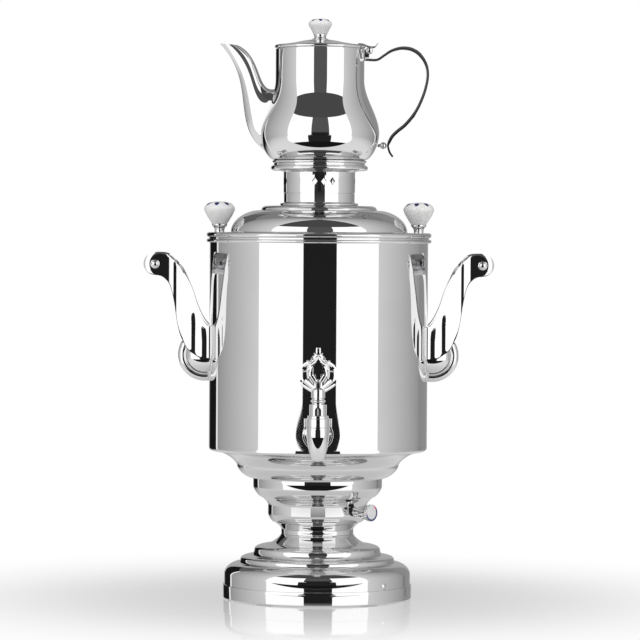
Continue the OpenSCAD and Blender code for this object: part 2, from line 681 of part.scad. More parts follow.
module plate_outline() {
    polygon(tidy(concat(s_curve(s_outer), s_curve(s_inner))));
    translate([grip_x, grip_z]) circle(r = plate_end_r);
}

// Plan of the plate: a ribbon that sways outwards from the tank to the grip
end_u = 1 - plate_end_r / grip_reach;
function ribbon_y(u) = let (v = min(max(u / end_u, 0), 1))
    plate_y + plate_flare * (1 - cos(180 * v)) / 2 + 1.6 * sin(360 * v);
plate_plan = strip([for (i = [-4:28]) let (u = i / 20)
    [tank_r + u * grip_reach, ribbon_y(u)]], plate_t);

module plate_at(side) difference() {
    intersection() {
        translate([0, side * plate_y, 0]) across(6 * plate_flare + 4 * plate_t) plate_outline();
        translate([0, 0, foot_z - 20]) linear_extrude(grip_rise + 60)
            scale([1, side]) polygon(plate_plan);
    }
    cylinder(r = tank_r, h = grip_z + 60);
    translate([grip_x, 0, grip_z]) rod_y(bolt_r + loose, beyond);
    translate([cross_x, 0, cross_z]) rod_y(stud_r + loose, beyond);
}

module grip() translate([grip_x, 0, grip_z]) difference() {
    rod_y(grip_r, 2 * (grip_y - plate_t / 2 - 0.1));
    rod_y(bolt_r + loose / 2, beyond);
}

module cap_nuts() translate([grip_x, 0, grip_z]) {
    rod_y(bolt_r, 2 * (grip_y + 3));
    for (side = [-1, 1]) translate([0, side * (grip_y + plate_t / 2 + 0.3), 0]) rotate([-90 * side, 0, 0])
        spun(concat([[0, 0], [4.6, 0]], arc([1.4, 1], 3.2, 0, 90), [[0, 4.2]]));
}

// Rounded band that wraps the foot of the handle, with a rounded block inside it
module handle_foot() difference() {
    union() {
        translate([keel_x, 0, keel_z]) rotate([90, 0, 0]) rotate([0, 0, -112])
            rotate_extrude(angle = 146) translate([keel_r - keel_t / 2, 0]) keel_section();
        intersection() {
            translate([keel_x, 0, keel_z]) rotate([90, 0, 0]) spun(concat([[0, -block_w]],
                arc([block_r - block_edge, block_edge - block_w], block_edge, -90, 0),
                arc([block_r - block_edge, block_w - block_edge], block_edge, 0, 90), [[0, block_w]]));
            translate([tank_r - 20, -60, keel_z - keel_r]) cube([60, 120, keel_r + 14]);
        }
        translate([cross_x, 0, cross_z])
            rod_y(6, 2 * (ribbon_y((cross_x - 6 - tank_r) / grip_reach) - plate_t / 2 - 0.3));
    }
    cylinder(r = tank_r, h = grip_z);
    translate([cross_x, 0, cross_z]) rod_y(stud_r + loose, beyond);
    for (z = stud_zs) translate([0, 0, z]) rod_x(stud_r + loose / 2, tank_r - 5, tank_r + 13);
}

module keel_section() {
    translate([-keel_t / 2, -keel_w + keel_t / 2]) square([keel_t, 2 * keel_w - keel_t]);
    for (y = [-1, 1]) translate([0, y * (keel_w - keel_t / 2)]) circle(r = keel_t / 2);
}

// Studs through the tank's wall with their nuts, and the cross screw of each foot
module handle_studs() color(steel) for (side = [-1, 1]) facing(90 * side) {
    for (z = stud_zs) translate([0, 0, z]) {
        rod_x(stud_r, tank_r - 7, tank_r + 12);
        translate([tank_r - wall - 4.2, 0, 0]) rotate([0, 90, 0]) cylinder(r = 5, h = 3.8, $fn = 6);
    }
    translate([cross_x, 0, cross_z]) rod_y(stud_r, 2 * ribbon_y((cross_x - tank_r) / grip_reach) - 0.4);
}

module right_front_plate() color(bright) plate_at(-1);
module right_rear_plate() color(bright) plate_at(1);
module left_front_plate() color(bright) mirror([1, 0, 0]) plate_at(-1);
module left_rear_plate() color(bright) mirror([1, 0, 0]) plate_at(1);
module right_grip() color(steel) grip();
module left_grip() color(steel) mirror([1, 0, 0]) grip();
module right_cap_nuts() color(bright) cap_nuts();
module left_cap_nuts() color(bright) mirror([1, 0, 0]) cap_nuts();
module right_handle_foot() color(bright) handle_foot();
module left_handle_foot() color(bright) mirror([1, 0, 0]) handle_foot();

// ---- Lid ----

lid_edge = [tank_r - 0.4, lid_top_z - lid_rim_h / 2];
lid_path = tidy(concat(arc(lid_edge, lid_rim_h / 2, -90, 90),
    reach([dome_r + 1.5, lid_top_z], [dome_r, lid_top_z + 1.5]),
    rise([dome_r, lid_top_z + 1.5], [dome_r - dome_w, dome_top_z], 1.1),
    [[dome_r - dome_w - 2.2, dome_top_z + 0.2]],
    rise([dome_r - dome_w - 2.4, dome_top_z + 0.8], [dome_r - dome_w - 9, disc_z]),
    [[neck_r - sheet, disc_z]]));

module lid_shell() color(bright) difference() {
    union() {
        spun(walled(lid_path, sheet));
        spun([[tank_r - wall - slip - 1.2, rim_z - collar_h], [tank_r - wall - slip, rim_z - collar_h],
            [tank_r - wall - slip, lid_z], [tank_r + 1, lid_z], [tank_r + 1, lid_z + 2.4],
            [tank_r - wall - slip, lid_z + 2.4], [tank_r - wall - slip, lid_top_z - sheet + bit],
            [tank_r - wall - slip - 1.2, lid_top_z - sheet + bit]]);
    }
    for (side = [-1, 1]) translate([side * knob_x, 0, lid_top_z - 5]) cylinder(r = screw_r + loose, h = 10);
}

module lid_neck() color(bright) spun(concat([[neck_r - sheet, disc_z], [neck_r + 3, disc_z]],
    arc([neck_r + 2.6, disc_z + 1.5], 1.5, -90, 90), [[neck_r, disc_z + 3.6], [neck_r, neck_top_z],
    [neck_r - sheet, neck_top_z]]));

module lid_ferrules() color(bright) for (side = [-1, 1]) translate([side * knob_x, 0, lid_top_z])
    difference() {
        spun([[0, 0], [5.4, 0], [5.4, 1], [6.5, ferrule_h - 5], [7.2, ferrule_h - 3.4],
            [8.4, ferrule_h - 2.4], [8.4, ferrule_h], [0, ferrule_h]]);
        translate([0, 0, -1]) cylinder(r = screw_r + loose / 2, h = ferrule_h + 2);
    }

// Porcelain knob: a flared cup shape with a flat top
module china_knob(r, h, foot) spun(tidy(concat([[0, 0], [foot, 0]],
    [for (t = [0:0.125:1]) [foot + (r - foot) * sin(90 * t), h * 0.72 * t]],
    reach([r, h * 0.72], [r - 1, h * 0.86]), rise([r - 1, h * 0.86], [r * 0.53, h]), [[0, h]])));

module lid_knobs() color(china) for (side = [-1, 1])
    translate([side * knob_x, 0, lid_top_z + ferrule_h]) difference() {
        china_knob(china_r, china_h, 8.3);
        translate([0, 0, -1]) cylinder(r = screw_r + loose / 2, h = 13);
    }

module lid_screws() color(steel) for (side = [-1, 1]) translate([side * knob_x, 0, 0]) {
    translate([0, 0, lid_top_z - sheet - 2.4]) cylinder(r = 4.2, h = 2.4);
    translate([0, 0, lid_top_z - sheet - bit]) cylinder(r = screw_r, h = sheet + ferrule_h + 11);
}

// ---- Pot holder ----

module pot_holder() color(bright) difference() {
    spun(tidy(concat(
        [[neck_r - sheet - slip - 1.2, neck_top_z - 8], [neck_r - sheet - slip, neck_top_z - 8],
        [neck_r - sheet - slip, holder_z], [neck_r + 0.4, holder_z],
        [neck_r + 0.4, holder_flange_z - 2]],
        rise([neck_r + 0.4, holder_flange_z - 2],
            [holder_r - flange_bead - 0.6, flange_bead_z - flange_bead - 0.3]),
        arc([holder_r - flange_bead, flange_bead_z], flange_bead, -90, 90),
        [[holder_r - flange_bead - 0.3, flange_bead_z + flange_bead + 0.2],
        [holder_r - flange_bead - 0.3, holder_top_z - 0.5],
        [holder_r - flange_bead - 0.8, holder_top_z],
        [rest_r, holder_top_z], [rest_r, holder_top_z - rest_h], [neck_r - 0.8, holder_top_z - rest_h],
        [neck_r - 0.8, holder_z + sheet], [neck_r - sheet - slip - 1.2, holder_z + sheet]])));
    for (i = [0:vent_groups - 1], k = [-1:1])
        facing(vent_turn + 360 * i / vent_groups + k * vent_pitch)
            translate([neck_r - 4, 0, holder_z + holder_h * 0.58]) rotate([90, 0, 90]) linear_extrude(10)
                polygon([[vent_w / 2, 0], [0, vent_h / 2], [-vent_w / 2, 0], [0, -vent_h / 2]]);
}

// Recess that centres the teapot, and the rolled bead round the flange
rest_r = 44.4;
rest_h = 4.6;
flange_bead = 2.8;
flange_bead_z = holder_flange_z + holder_rim_h / 2 + 0.3;

// ---- Teapot ----

module pot_base_ring() color(bright) spun([[rest_r - 2.2, pot_ring_z - 3.8], [rest_r - 0.9, pot_ring_z - 3.8],
    [rest_r - 0.9, pot_ring_z], [pot_floor_r + 1, pot_ring_z], [pot_floor_r + 1.6, pot_ring_z + 0.8],
    [pot_floor_r + 1.2, pot_ring_z + 2.2], [pot_floor_r - 1, pot_z], [rest_r - 2.2, pot_z]]);

module pot_body() color(bright) difference() {
    spun(walled(pot_path, pot_sheet));
    for (row = [0:4]) for (i = [0:4 - row % 2])
        facing(-90 + (i - 2 + (row % 2) / 2) * 5)
            translate([0, 0, belly_z - 4 + row * 5]) rod_x(1.3, belly_r - 12, belly_r + 4);
}

// Outer contour (low side) and inner contour (top side) of the spout, as [x, z] Bezier curves
spout_tip_z = pot_rim_z + 4.9;
spout_low = [[-pot_floor_r - 9.8, pot_z + 10.2], [-spout_reach + 18, pot_z + 23.5],
    [-spout_reach + 33, spout_tip_z - 41], [-spout_reach, spout_tip_z]];
spout_top = [[-pot_neck_r - 0.7, pot_neck_z - 10.6], [-spout_reach + 45, pot_neck_z - 9],
    [-spout_reach + 41, spout_tip_z - 21], [-spout_reach + 19, spout_tip_z - 1.4]];
spout_rings = 14;
spout_sides = 20;

// One ring of the spout; grow is added to its half sizes
function spout_ring(t, grow) = let (a = bezier(spout_low, t), b = bezier(spout_top, t),
    mid = (a + b) / 2, half = (b - a) / 2, up = half / norm(half) * (norm(half) + grow),
    w = spout_mouth_w + (spout_root_w - spout_mouth_w) * pow(1 - t, 1.6) + grow)
    [for (k = [0:spout_sides - 1]) let (s = 360 * k / spout_sides)
        [mid.x + up.x * sin(s), w * cos(s), mid.y + up.y * sin(s)]];

// Rings of the sweep; reach_in and reach_out lengthen it at the root and the mouth
function spout_rings_of(grow, reach_in, reach_out) = concat(
    [[for (p = spout_ring(0, grow)) p + [reach_in, 0, 0]]],
    [for (i = [0:spout_rings]) spout_ring(i / spout_rings, grow)],
    reach_out > 0 ? [[for (p = spout_ring(1, grow)) p + reach_out * [-0.8, 0, 1]]] : []);

module loft(rings) {
    n = len(rings[0]);
    m = len(rings);
    polyhedron([for (ring = rings) for (p = ring) p],
        concat([[for (k = [n - 1:-1:0]) k]], [[for (k = [0:n - 1]) (m - 1) * n + k]],
            [for (i = [0:m - 2]) for (k = [0:n - 1]) let (l = (k + 1) % n)
                [i * n + k, i * n + l, (i + 1) * n + l]],
            [for (i = [0:m - 2]) for (k = [0:n - 1]) let (l = (k + 1) % n)
                [i * n + k, (i + 1) * n + l, (i + 1) * n + k]]), convexity = 6);
}

module pot_spout() color(bright) difference() {
    loft(spout_rings_of(0, 14, 0));
    loft(spout_rings_of(-pot_sheet, 20, 6));
    spun(tidy(concat([[0, pot_z - 1]], [for (p = pot_path) p + [0.05, 0]], [[0, pot_rim_z]])));
}

strap_path = through([[pot_neck_r, hinge_z - 9.6], [pot_neck_r + 8, hinge_z - 9.8],
    [pot_neck_r + 15, hinge_z - 7.5], [pot_neck_r + 25.2, hinge_z],
    [strap_reach - 28, pot_rim_z + 2], [strap_reach - 14.2, pot_rim_z - 2.4],
    [strap_reach - 2.6, pot_rim_z - 15], [strap_reach, pot_rim_z - 28],
    [strap_reach - 4, pot_rim_z - 46], [strap_reach - 12.3, belly_z + 29.6],
    [strap_reach - 27, belly_z + 10], [belly_r + 12.4, belly_z + 1.5],
    [belly_r + 6.9, belly_z - 11.5], [belly_r + 12.9, belly_z - 24.2]], 4);

module pot_handle() color(bright) difference() {
    across(strap_w) polygon(strip(strap_path, strap_t));
    cylinder(r = pot_neck_r + 0.05, h = pot_rim_z);
}

ball_r = 3.1;
module pot_handle_ball() color(bright)
    translate([belly_r + 6.7 - strap_t / 2 - ball_r, 0, belly_z - 11.6]) sphere(r = ball_r);

module pot_hinge_bracket() color(bright) difference() {
    union() {
        translate([pot_neck_r - 1, -6, hinge_z - 7.8]) cube([2.4, 12, 7]);
        for (y = [-6, 4]) {
            translate([pot_neck_r, y, hinge_z - 7.8]) cube([hinge_x - pot_neck_r, 2, 7.8]);
            translate([hinge_x, y, hinge_z]) rotate([-90, 0, 0]) cylinder(r = barrel_r + 0.2, h = 2);
        }
    }
    cylinder(r = pot_neck_r + 0.05, h = pot_rim_z);
    translate([0, 0, pot_rim_z - 8]) cylinder(r = pot_neck_r + 1.3, h = 30);
    translate([hinge_x, 0, hinge_z]) rod_y(pin_r + bit, 40);
}

module pot_hinge_pin() color(steel) translate([hinge_x, 0, hinge_z]) rod_y(pin_r, 13);

pot_lid_edge = [pot_neck_r + 1.1 - pot_rim_h / 2, pot_lid_z + pot_rim_h / 2];
pot_lid_path = tidy(concat(arc(pot_lid_edge, pot_rim_h / 2, -90, 90),
    [[pot_neck_r - 6, pot_lid_top_z + 0.5], [22, pot_lid_top_z + 3], [12, pot_lid_top_z + 5],
    [2, pot_lid_top_z + 5.6]]));

module pot_lid() color(bright) difference() {
    union() {
        spun(walled(pot_lid_path, pot_sheet));
        spun([[pot_neck_r - pot_sheet - 2.3, pot_rim_z - 6], [pot_neck_r - pot_sheet - 1.2, pot_rim_z - 6],
            [pot_neck_r - pot_sheet - 1.2, pot_lid_z], [pot_neck_r - 0.8, pot_lid_z],
            [pot_neck_r - 0.8, pot_lid_z + pot_sheet], [pot_neck_r - pot_sheet - 1.2, pot_lid_z + pot_sheet],
            [pot_neck_r - pot_sheet - 1.2, pot_lid_top_z - pot_sheet + bit],
            [pot_neck_r - pot_sheet - 2.3, pot_lid_top_z - pot_sheet + 0.1]]);
    }
    cylinder(r = 2 + loose, h = pot_lid_top_z + 20);
}

module pot_lid_leaf() color(bright) difference() {
    union() {
        translate([hinge_x, 0, hinge_z]) rod_y(barrel_r, barrel_w);
        across(barrel_w) polygon(strip(through([[pot_neck_r - 7, pot_lid_top_z + 1.5],
            [pot_neck_r - 2, pot_lid_top_z + 1.2], [pot_neck_r + 2.3, pot_lid_top_z - 0.3],
            [hinge_x - 2.2, hinge_z + 2]], 4), 1.4));
        across(barrel_w) polygon(strip([[hinge_x - 1, hinge_z + 3.2], [hinge_x + 2.7, hinge_z + 5.3]], 1.3));
        across(barrel_w + 3) polygon(strip([[hinge_x + 2.6, hinge_z + 5.2],
            [hinge_x + 7.6, hinge_z + 8.6]], 1.3));
    }
    translate([hinge_x, 0, hinge_z]) rod_y(pin_r + running, 40);
}

pot_top_z = pot_lid_top_z + 5.6;
pot_ferrule_h = 5.4;
module pot_ferrule() color(bright) translate([0, 0, pot_top_z]) difference() {
    spun([[0, 0], [9, 0], [9, 0.6], [7, 1.2], [6.6, pot_ferrule_h - 1], [7.6, pot_ferrule_h - 0.4],
        [7.6, pot_ferrule_h], [0, pot_ferrule_h]]);
    translate([0, 0, -2]) cylinder(r = 2 + loose / 2, h = 20);
    cylinder(r = 2 + loose / 2, h = 9);
}

module pot_knob() color(china) translate([0, 0, pot_top_z + pot_ferrule_h]) difference() {
    china_knob(pot_china_r, pot_china_h, 7.5);
    translate([0, 0, -1]) cylinder(r = 2 + loose / 2, h = 10);
}

module pot_knob_screw() color(steel) {
    translate([0, 0, pot_top_z - pot_sheet - 2.2]) cylinder(r = 4, h = 2);
    translate([0, 0, pot_top_z - pot_sheet - 0.3]) cylinder(r = 2, h = pot_sheet + pot_ferrule_h + 8);
}

rubber_feet();
base_plate();
foot_skirt();
foot_cover();
cover_screws();
cord_gland();
terminal_block();
waist_collar();
pedestal_bowl();
tie_rods();
tie_nuts();
thermostat_body();
thermostat_washer();
safety_cutout();
tank_bottom();
tank_wall();
heating_element();
element_nuts();
tap_body();
tap_rosette();
tap_gasket();
tap_nut();
tap_bonnet();
left_front_plate();
left_rear_plate();
right_front_plate();
right_rear_plate();
left_grip();
right_grip();
left_cap_nuts();
right_cap_nuts();
left_handle_foot();
right_handle_foot();
handle_studs();
tap_key();
tap_plug();
dial_knob();
dial_face();
dial_shaft();
lid_shell();
lid_neck();
lid_ferrules();
lid_knobs();
lid_screws();
pot_holder();
pot_body();
pot_base_ring();
pot_spout();
pot_handle();
pot_handle_ball();
pot_hinge_bracket();
pot_hinge_pin();
pot_lid();
pot_lid_leaf();
pot_ferrule();
pot_knob();
pot_knob_screw();
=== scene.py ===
"""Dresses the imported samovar: polished spun steel, porcelain knobs, a tap and a teapot.

Sizes in the classes are millimetres; meshes are made in metres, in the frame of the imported
model: front is -Y, up is +Z.
"""

import logging
import math
from dataclasses import dataclass
from enum import Enum
from typing import Callable, Sequence

import bmesh
import bpy
from bmesh.types import BMesh
from mathutils import Matrix, Vector


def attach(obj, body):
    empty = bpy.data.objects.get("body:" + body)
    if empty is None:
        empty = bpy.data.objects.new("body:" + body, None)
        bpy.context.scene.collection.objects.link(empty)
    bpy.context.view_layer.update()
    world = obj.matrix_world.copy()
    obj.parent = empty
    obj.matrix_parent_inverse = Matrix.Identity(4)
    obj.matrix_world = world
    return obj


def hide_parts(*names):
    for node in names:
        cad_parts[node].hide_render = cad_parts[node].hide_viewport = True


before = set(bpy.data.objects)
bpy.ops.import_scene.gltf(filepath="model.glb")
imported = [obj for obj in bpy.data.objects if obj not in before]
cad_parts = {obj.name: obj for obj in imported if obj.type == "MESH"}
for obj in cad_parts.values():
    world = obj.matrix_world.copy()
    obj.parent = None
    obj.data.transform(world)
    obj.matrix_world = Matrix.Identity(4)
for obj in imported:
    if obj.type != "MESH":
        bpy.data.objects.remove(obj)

LOG = logging.getLogger("samovar")
MM = 0.001
TURN_STEPS = 224
ARC_STEPS = 14

Point = tuple[float, float]
Path = list[Point]
Colour = tuple[float, float, float]


# ---------------------------------------------------------------------------
# Paths in the plane, in millimetres
# ---------------------------------------------------------------------------


def quarter(p: Point, q: Point, c: Point, slack: float, steps: int = ARC_STEPS) -> Path:
    """Quarter of an ellipse.

    Args:
        p: Start.
        q: End.
        c: Centre.
        slack: 1 for a true ellipse; more is flatter.
        steps: Number of stretches.

    Returns:
        The points from p to q.
    """
    out = []
    for i in range(steps + 1):
        t = math.pi / 2 * i / steps
        a, b = abs(math.cos(t)) ** slack, math.sin(t) ** slack
        out.append((c[0] + (p[0] - c[0]) * a + (q[0] - c[0]) * b,
                    c[1] + (p[1] - c[1]) * a + (q[1] - c[1]) * b))
    return out


def rise(p: Point, q: Point, slack: float = 1.0) -> Path:
    """Curve that leaves p upright and arrives level at q."""
    return quarter(p, q, (q[0], p[1]), slack)


def reach(p: Point, q: Point, slack: float = 1.0) -> Path:
    """Curve that leaves p level and arrives upright at q."""
    return quarter(p, q, (p[0], q[1]), slack)


def sway(p: Point, q: Point) -> Path:
    """S-curve from p to q that is upright at both ends."""
    steps = 3 * ARC_STEPS
    return [(p[0] + (q[0] - p[0]) * (1 - math.cos(math.pi * i / steps)) / 2,
             p[1] + (q[1] - p[1]) * i / steps) for i in range(steps + 1)]


def arc(c: Point, r: float, start: float, stop: float, steps: int = ARC_STEPS) -> Path:
    """Arc of radius r about c, between two angles in degrees."""
    angles = [math.radians(start + (stop - start) * i / steps) for i in range(steps + 1)]
    return [(c[0] + r * math.cos(a), c[1] + r * math.sin(a)) for a in angles]


def tidy(path: Path, gap: float = 0.01) -> Path:
    """The same points without neighbours that coincide."""
    out = [path[0]]
    for p in path[1:]:
        if math.dist(p, out[-1]) > gap:
            out.append(p)
    return out


def shifted(path: Path, distance: float) -> Path:
    """The path moved to its left by a distance."""
    out = []
    last = len(path) - 1
    for i, p in enumerate(path):
        a, b = path[max(i - 1, 0)], path[min(i + 1, last)]
        dx, dy = b[0] - a[0], b[1] - a[1]
        size = math.hypot(dx, dy)
        out.append((p[0] - distance * dy / size, p[1] + distance * dx / size))
    return out


def walled(path: Path, thickness: float) -> Path:
    """Closed outline of a wall whose outer face is the path."""
    return path + shifted(path, thickness)[::-1]


def through(points: Sequence[Sequence[float]], steps: int = 8) -> list[tuple[float, ...]]:
    """Smooth curve through points of any dimension, with steps points in each stretch."""
    last = len(points) - 1
    out = []
    for i in range(last):
        a, b, c, d = (points[max(i - 1, 0)], points[i], points[i + 1],
                      points[min(i + 2, last)])
        for s in range(steps):
            t = s / steps
            out.append(tuple(
                (2 * q + (r - p) * t + (2 * p - 5 * q + 4 * r - u) * t * t
                 + (3 * q - p - 3 * r + u) * t ** 3) / 2 for p, q, r, u in zip(a, b, c, d)))
    out.append(tuple(points[last]))
    return out


def bezier(p: Sequence[Point], t: float) -> Point:
    """Point of the cubic Bezier curve with four control points."""
    weights = ((1 - t) ** 3, 3 * t * (1 - t) ** 2, 3 * t * t * (1 - t), t ** 3)
    return (sum(w * q[0] for w, q in zip(weights, p)), sum(w * q[1] for w, q in zip(weights, p)))


def smooth(low: float, high: float, x: float) -> float:
    """0 below low, 1 above high and a smooth step between."""
    t = min(max((x - low) / (high - low), 0.0), 1.0)
    return t * t * (3 - 2 * t)


# ---------------------------------------------------------------------------
# Meshes
# ---------------------------------------------------------------------------


def chain(mesh: BMesh, path: Sequence[Sequence[float]], closed: bool) -> tuple[list, list]:
    """Vertices along a path, joined by edges.

    Args:
        mesh: Mesh to add them to.
        path: Points in millimetres, as (radius, height) or (x, y, z).
        closed: True to join the last to the first.

    Returns:
        The vertices and the edges.
    """
    full = [(p[0], 0.0, p[1]) if len(p) == 2 else p for p in path]
    verts = [mesh.verts.new((x * MM, y * MM, z * MM)) for x, y, z in full]
    pairs = list(zip(verts, verts[1:]))
    if closed:
        pairs.append((verts[-1], verts[0]))
    return verts, [mesh.edges.new(pair) for pair in pairs]


def close_up(mesh: BMesh) -> BMesh:
    """Merges doubles and points the faces outwards."""
    bmesh.ops.remove_doubles(mesh, verts=mesh.verts[:], dist=1e-6)
    bmesh.ops.dissolve_degenerate(mesh, edges=mesh.edges[:], dist=1e-7)
    bmesh.ops.recalc_face_normals(mesh, faces=mesh.faces[:])
    return mesh


def spun(outline: Path, closed: bool = True, steps: int = TURN_STEPS) -> BMesh:
    """Body of revolution about the Z axis.

    Args:
        outline: Points as (radius, height), in millimetres.
        closed: True where the outline is a loop; False where it starts and ends on the axis.
        steps: Number of faces round the axis.

    Returns:
        A new mesh.
    """
    mesh = bmesh.new()
    verts, edges = chain(mesh, tidy(outline), closed)
    bmesh.ops.spin(mesh, geom=verts + edges, cent=(0, 0, 0), axis=(0, 0, 1),
                   angle=math.tau, steps=steps, use_merge=True, use_normal_flip=False)
    return close_up(mesh)


def tube(rings: Sequence[Sequence[Vector]], looped: bool = False) -> BMesh:
    """Skin over rings of points.

    Args:
        rings: Rings with the same number of points, in metres.
        looped: True where the last ring joins the first; else the ends are capped.

    Returns:
        A new mesh.
    """
    mesh = bmesh.new()
    loops = []
    for ring in rings:
        made = bmesh.ops.create_circle(mesh, cap_ends=False, radius=1, segments=len(ring))
        verts = made["verts"]
        for vert, place in zip(verts, ring):
            vert.co = place
        loops.append([e for e in {e for v in verts for e in v.link_edges}])
    pairs = list(zip(loops, loops[1:]))
    if looped:
        pairs.append((loops[-1], loops[0]))
    for a, b in pairs:
        bmesh.ops.bridge_loops(mesh, edges=a + b)
    if not looped:
        bmesh.ops.holes_fill(mesh, edges=loops[0] + loops[-1], sides=0)
    return close_up(mesh)


def stadium(half_w: float, half_t: float) -> Path:
    """Flat section with round ends, as (across, outwards)."""
    return (arc((half_w - half_t, 0), half_t, -90, 90, 10)
            + arc((half_t - half_w, 0), half_t, 90, 270, 10))


def slat(half_w: float, half_t: float, lean: float = 25.0) -> Path:
    """Flat section whose narrow sides are crowned by a lean in degrees to each side."""
    r = half_t / math.sin(math.radians(lean))
    return (arc((half_w - r, 0), r, -lean, lean, 8)
            + arc((r - half_w, 0), r, 180 - lean, 180 + lean, 8))


def roof(half_w: float, half_t: float, ridge: float) -> Path:
    """Section of a bar with a low ridge along its front and a flat back."""
    side = half_t - ridge
    return [(half_t, half_w), (-side, half_w), (-half_t, 0), (-side, -half_w),
            (half_t, -half_w)]


def swept(path: Sequence[Sequence[float]], section: Path,
          sizes: Sequence[Point] | None = None) -> BMesh:
    """Bar along a path in the X-Z plane.

    Args:
        path: Points (x, z) in millimetres.
        section: Its section as (along Y, outwards), in millimetres.
        sizes: How much the section is scaled at each point, in both directions.

    Returns:
        A new mesh.
    """
    last = len(path) - 1
    rings = []
    for i, (x, z) in enumerate(path):
        a, b = path[max(i - 1, 0)], path[min(i + 1, last)]
        size = math.dist(a, b)
        out = ((b[1] - a[1]) / size, (a[0] - b[0]) / size)
        wide, thick = sizes[i] if sizes else (1.0, 1.0)
        rings.append([Vector((x + out[0] * t * thick, w * wide, z + out[1] * t * thick)) * MM
                      for w, t in section])
    return tube(rings)


def ball(x: float, y: float, z: float, r: float) -> BMesh:
    """Ball of radius r about a point, in millimetres."""
    mesh = bmesh.new()
    bmesh.ops.create_uvsphere(mesh, u_segments=32, v_segments=20, radius=r * MM,
                              matrix=at(x, y, z))
    return mesh


def block(low: Sequence[float], high: Sequence[float], soft: float = 0.4) -> BMesh:
    """Box between two corners in millimetres, with rounded edges."""
    mesh = bmesh.new()
    size = [h - l for l, h in zip(low, high)]
    middle = [(l + h) / 2 * MM for l, h in zip(low, high)]
    bmesh.ops.create_cube(mesh, size=1, matrix=Matrix.Translation(middle) @ Matrix.Diagonal(
        (size[0] * MM, size[1] * MM, size[2] * MM, 1)))
    bmesh.ops.bevel(mesh, geom=mesh.edges[:], offset=soft * MM, segments=3, profile=0.5,
                    affect="EDGES", material=-1)
    return close_up(mesh)


def slab(outline: Path, half: float) -> BMesh:
    """Flat plate with an outline in the X-Z plane, in millimetres.

    Args:
        outline: Its corners as (x, z), in turn.
        half: Half of its thickness.

    Returns:
        A new mesh.
    """
    mesh = bmesh.new()
    edges = chain(mesh, [(x, half, z) for x, z in outline], True)[1]
    made = bmesh.ops.holes_fill(mesh, edges=edges, sides=0)
    made = bmesh.ops.extrude_face_region(mesh, geom=made["faces"])
    bmesh.ops.translate(mesh, vec=(0, -2 * half * MM, 0), verts=[
        v for v in made["geom"] if isinstance(v, bmesh.types.BMVert)])
    return close_up(mesh)


def moved(mesh: BMesh, matrix: Matrix) -> BMesh:
    """The mesh after a transform, with its faces still outwards."""
    bmesh.ops.transform(mesh, matrix=matrix, verts=mesh.verts[:])
    if matrix.determinant() < 0:
        bmesh.ops.reverse_faces(mesh, faces=mesh.faces[:])
    return mesh


def mirrored(axis: Sequence[float]) -> Matrix:
    """A mirroring through the origin, along an axis."""
    return Matrix.Scale(-1, 4, axis)


def at(x: float, y: float, z: float) -> Matrix:
    """A move in millimetres."""
    return Matrix.Translation((x * MM, y * MM, z * MM))


def turned(degrees: float, axis: str) -> Matrix:
    """A turn about an axis through the origin."""
    return Matrix.Rotation(math.radians(degrees), 4, axis)


def facing(azimuth: float) -> Matrix:
    """Turns +X to this angle from the front, to the right."""
    return turned(azimuth - 90, "Z")


def joined(*meshes: BMesh) -> BMesh:
    """One mesh that holds all of these."""
    whole = bmesh.new()
    for part in meshes:
        data = bpy.data.meshes.new("part")
        part.to_mesh(data)
        whole.from_mesh(data)
        part.free()
        bpy.data.meshes.remove(data)
    return whole


class Body(Enum):
    """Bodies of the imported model."""

    SAMOVAR = "samovar"
    TAP = "tap_handle"
    DIAL = "dial"
    LID = "lid"
    HOLDER = "holder"
    TEAPOT = "teapot"
    TEAPOT_LID = "teapot_lid"


class Slot(Enum):
    """Material slots of the record."""

    POLISHED = "polished_steel"
    GRIP = "grip_steel"
    PLAIN = "plain_steel"
    PORCELAIN = "porcelain"
    RUBBER = "black_rubber"
    ENAMEL = "dial_enamel"
    CERAMIC = "ceramic_block"
    PLASTIC = "moulded_plastic"
    ELEMENT = "element_tube"


def piece(mesh: BMesh, name: str, finish: "Finish", body: Body, nodes: Sequence[str],
          crease: float = 40.0) -> bpy.types.Object:
    """Turns a mesh into a finished piece of the samovar.

    Args:
        mesh: The shape, in place; it is freed.
        name: Name of the piece.
        finish: Its finish.
        body: Body that it rides on.
        nodes: CAD nodes that it stands for.
        crease: Angle in degrees above which an edge stays sharp.

    Returns:
        The object.
    """
    data = bpy.data.meshes.new(name)
    mesh.to_mesh(data)
    mesh.free()
    data.shade_smooth()
    data.set_sharp_from_angle(angle=math.radians(crease))
    data.materials.append(finish.material())
    thing = bpy.data.objects.new(name, data)
    bpy.context.scene.collection.objects.link(thing)
    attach(thing, body.value)
    if nodes:
        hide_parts(*nodes)
    LOG.info("%s: %d faces on %s", name, len(data.polygons), body.value)
    return thing


# ---------------------------------------------------------------------------
# Finishes
# ---------------------------------------------------------------------------


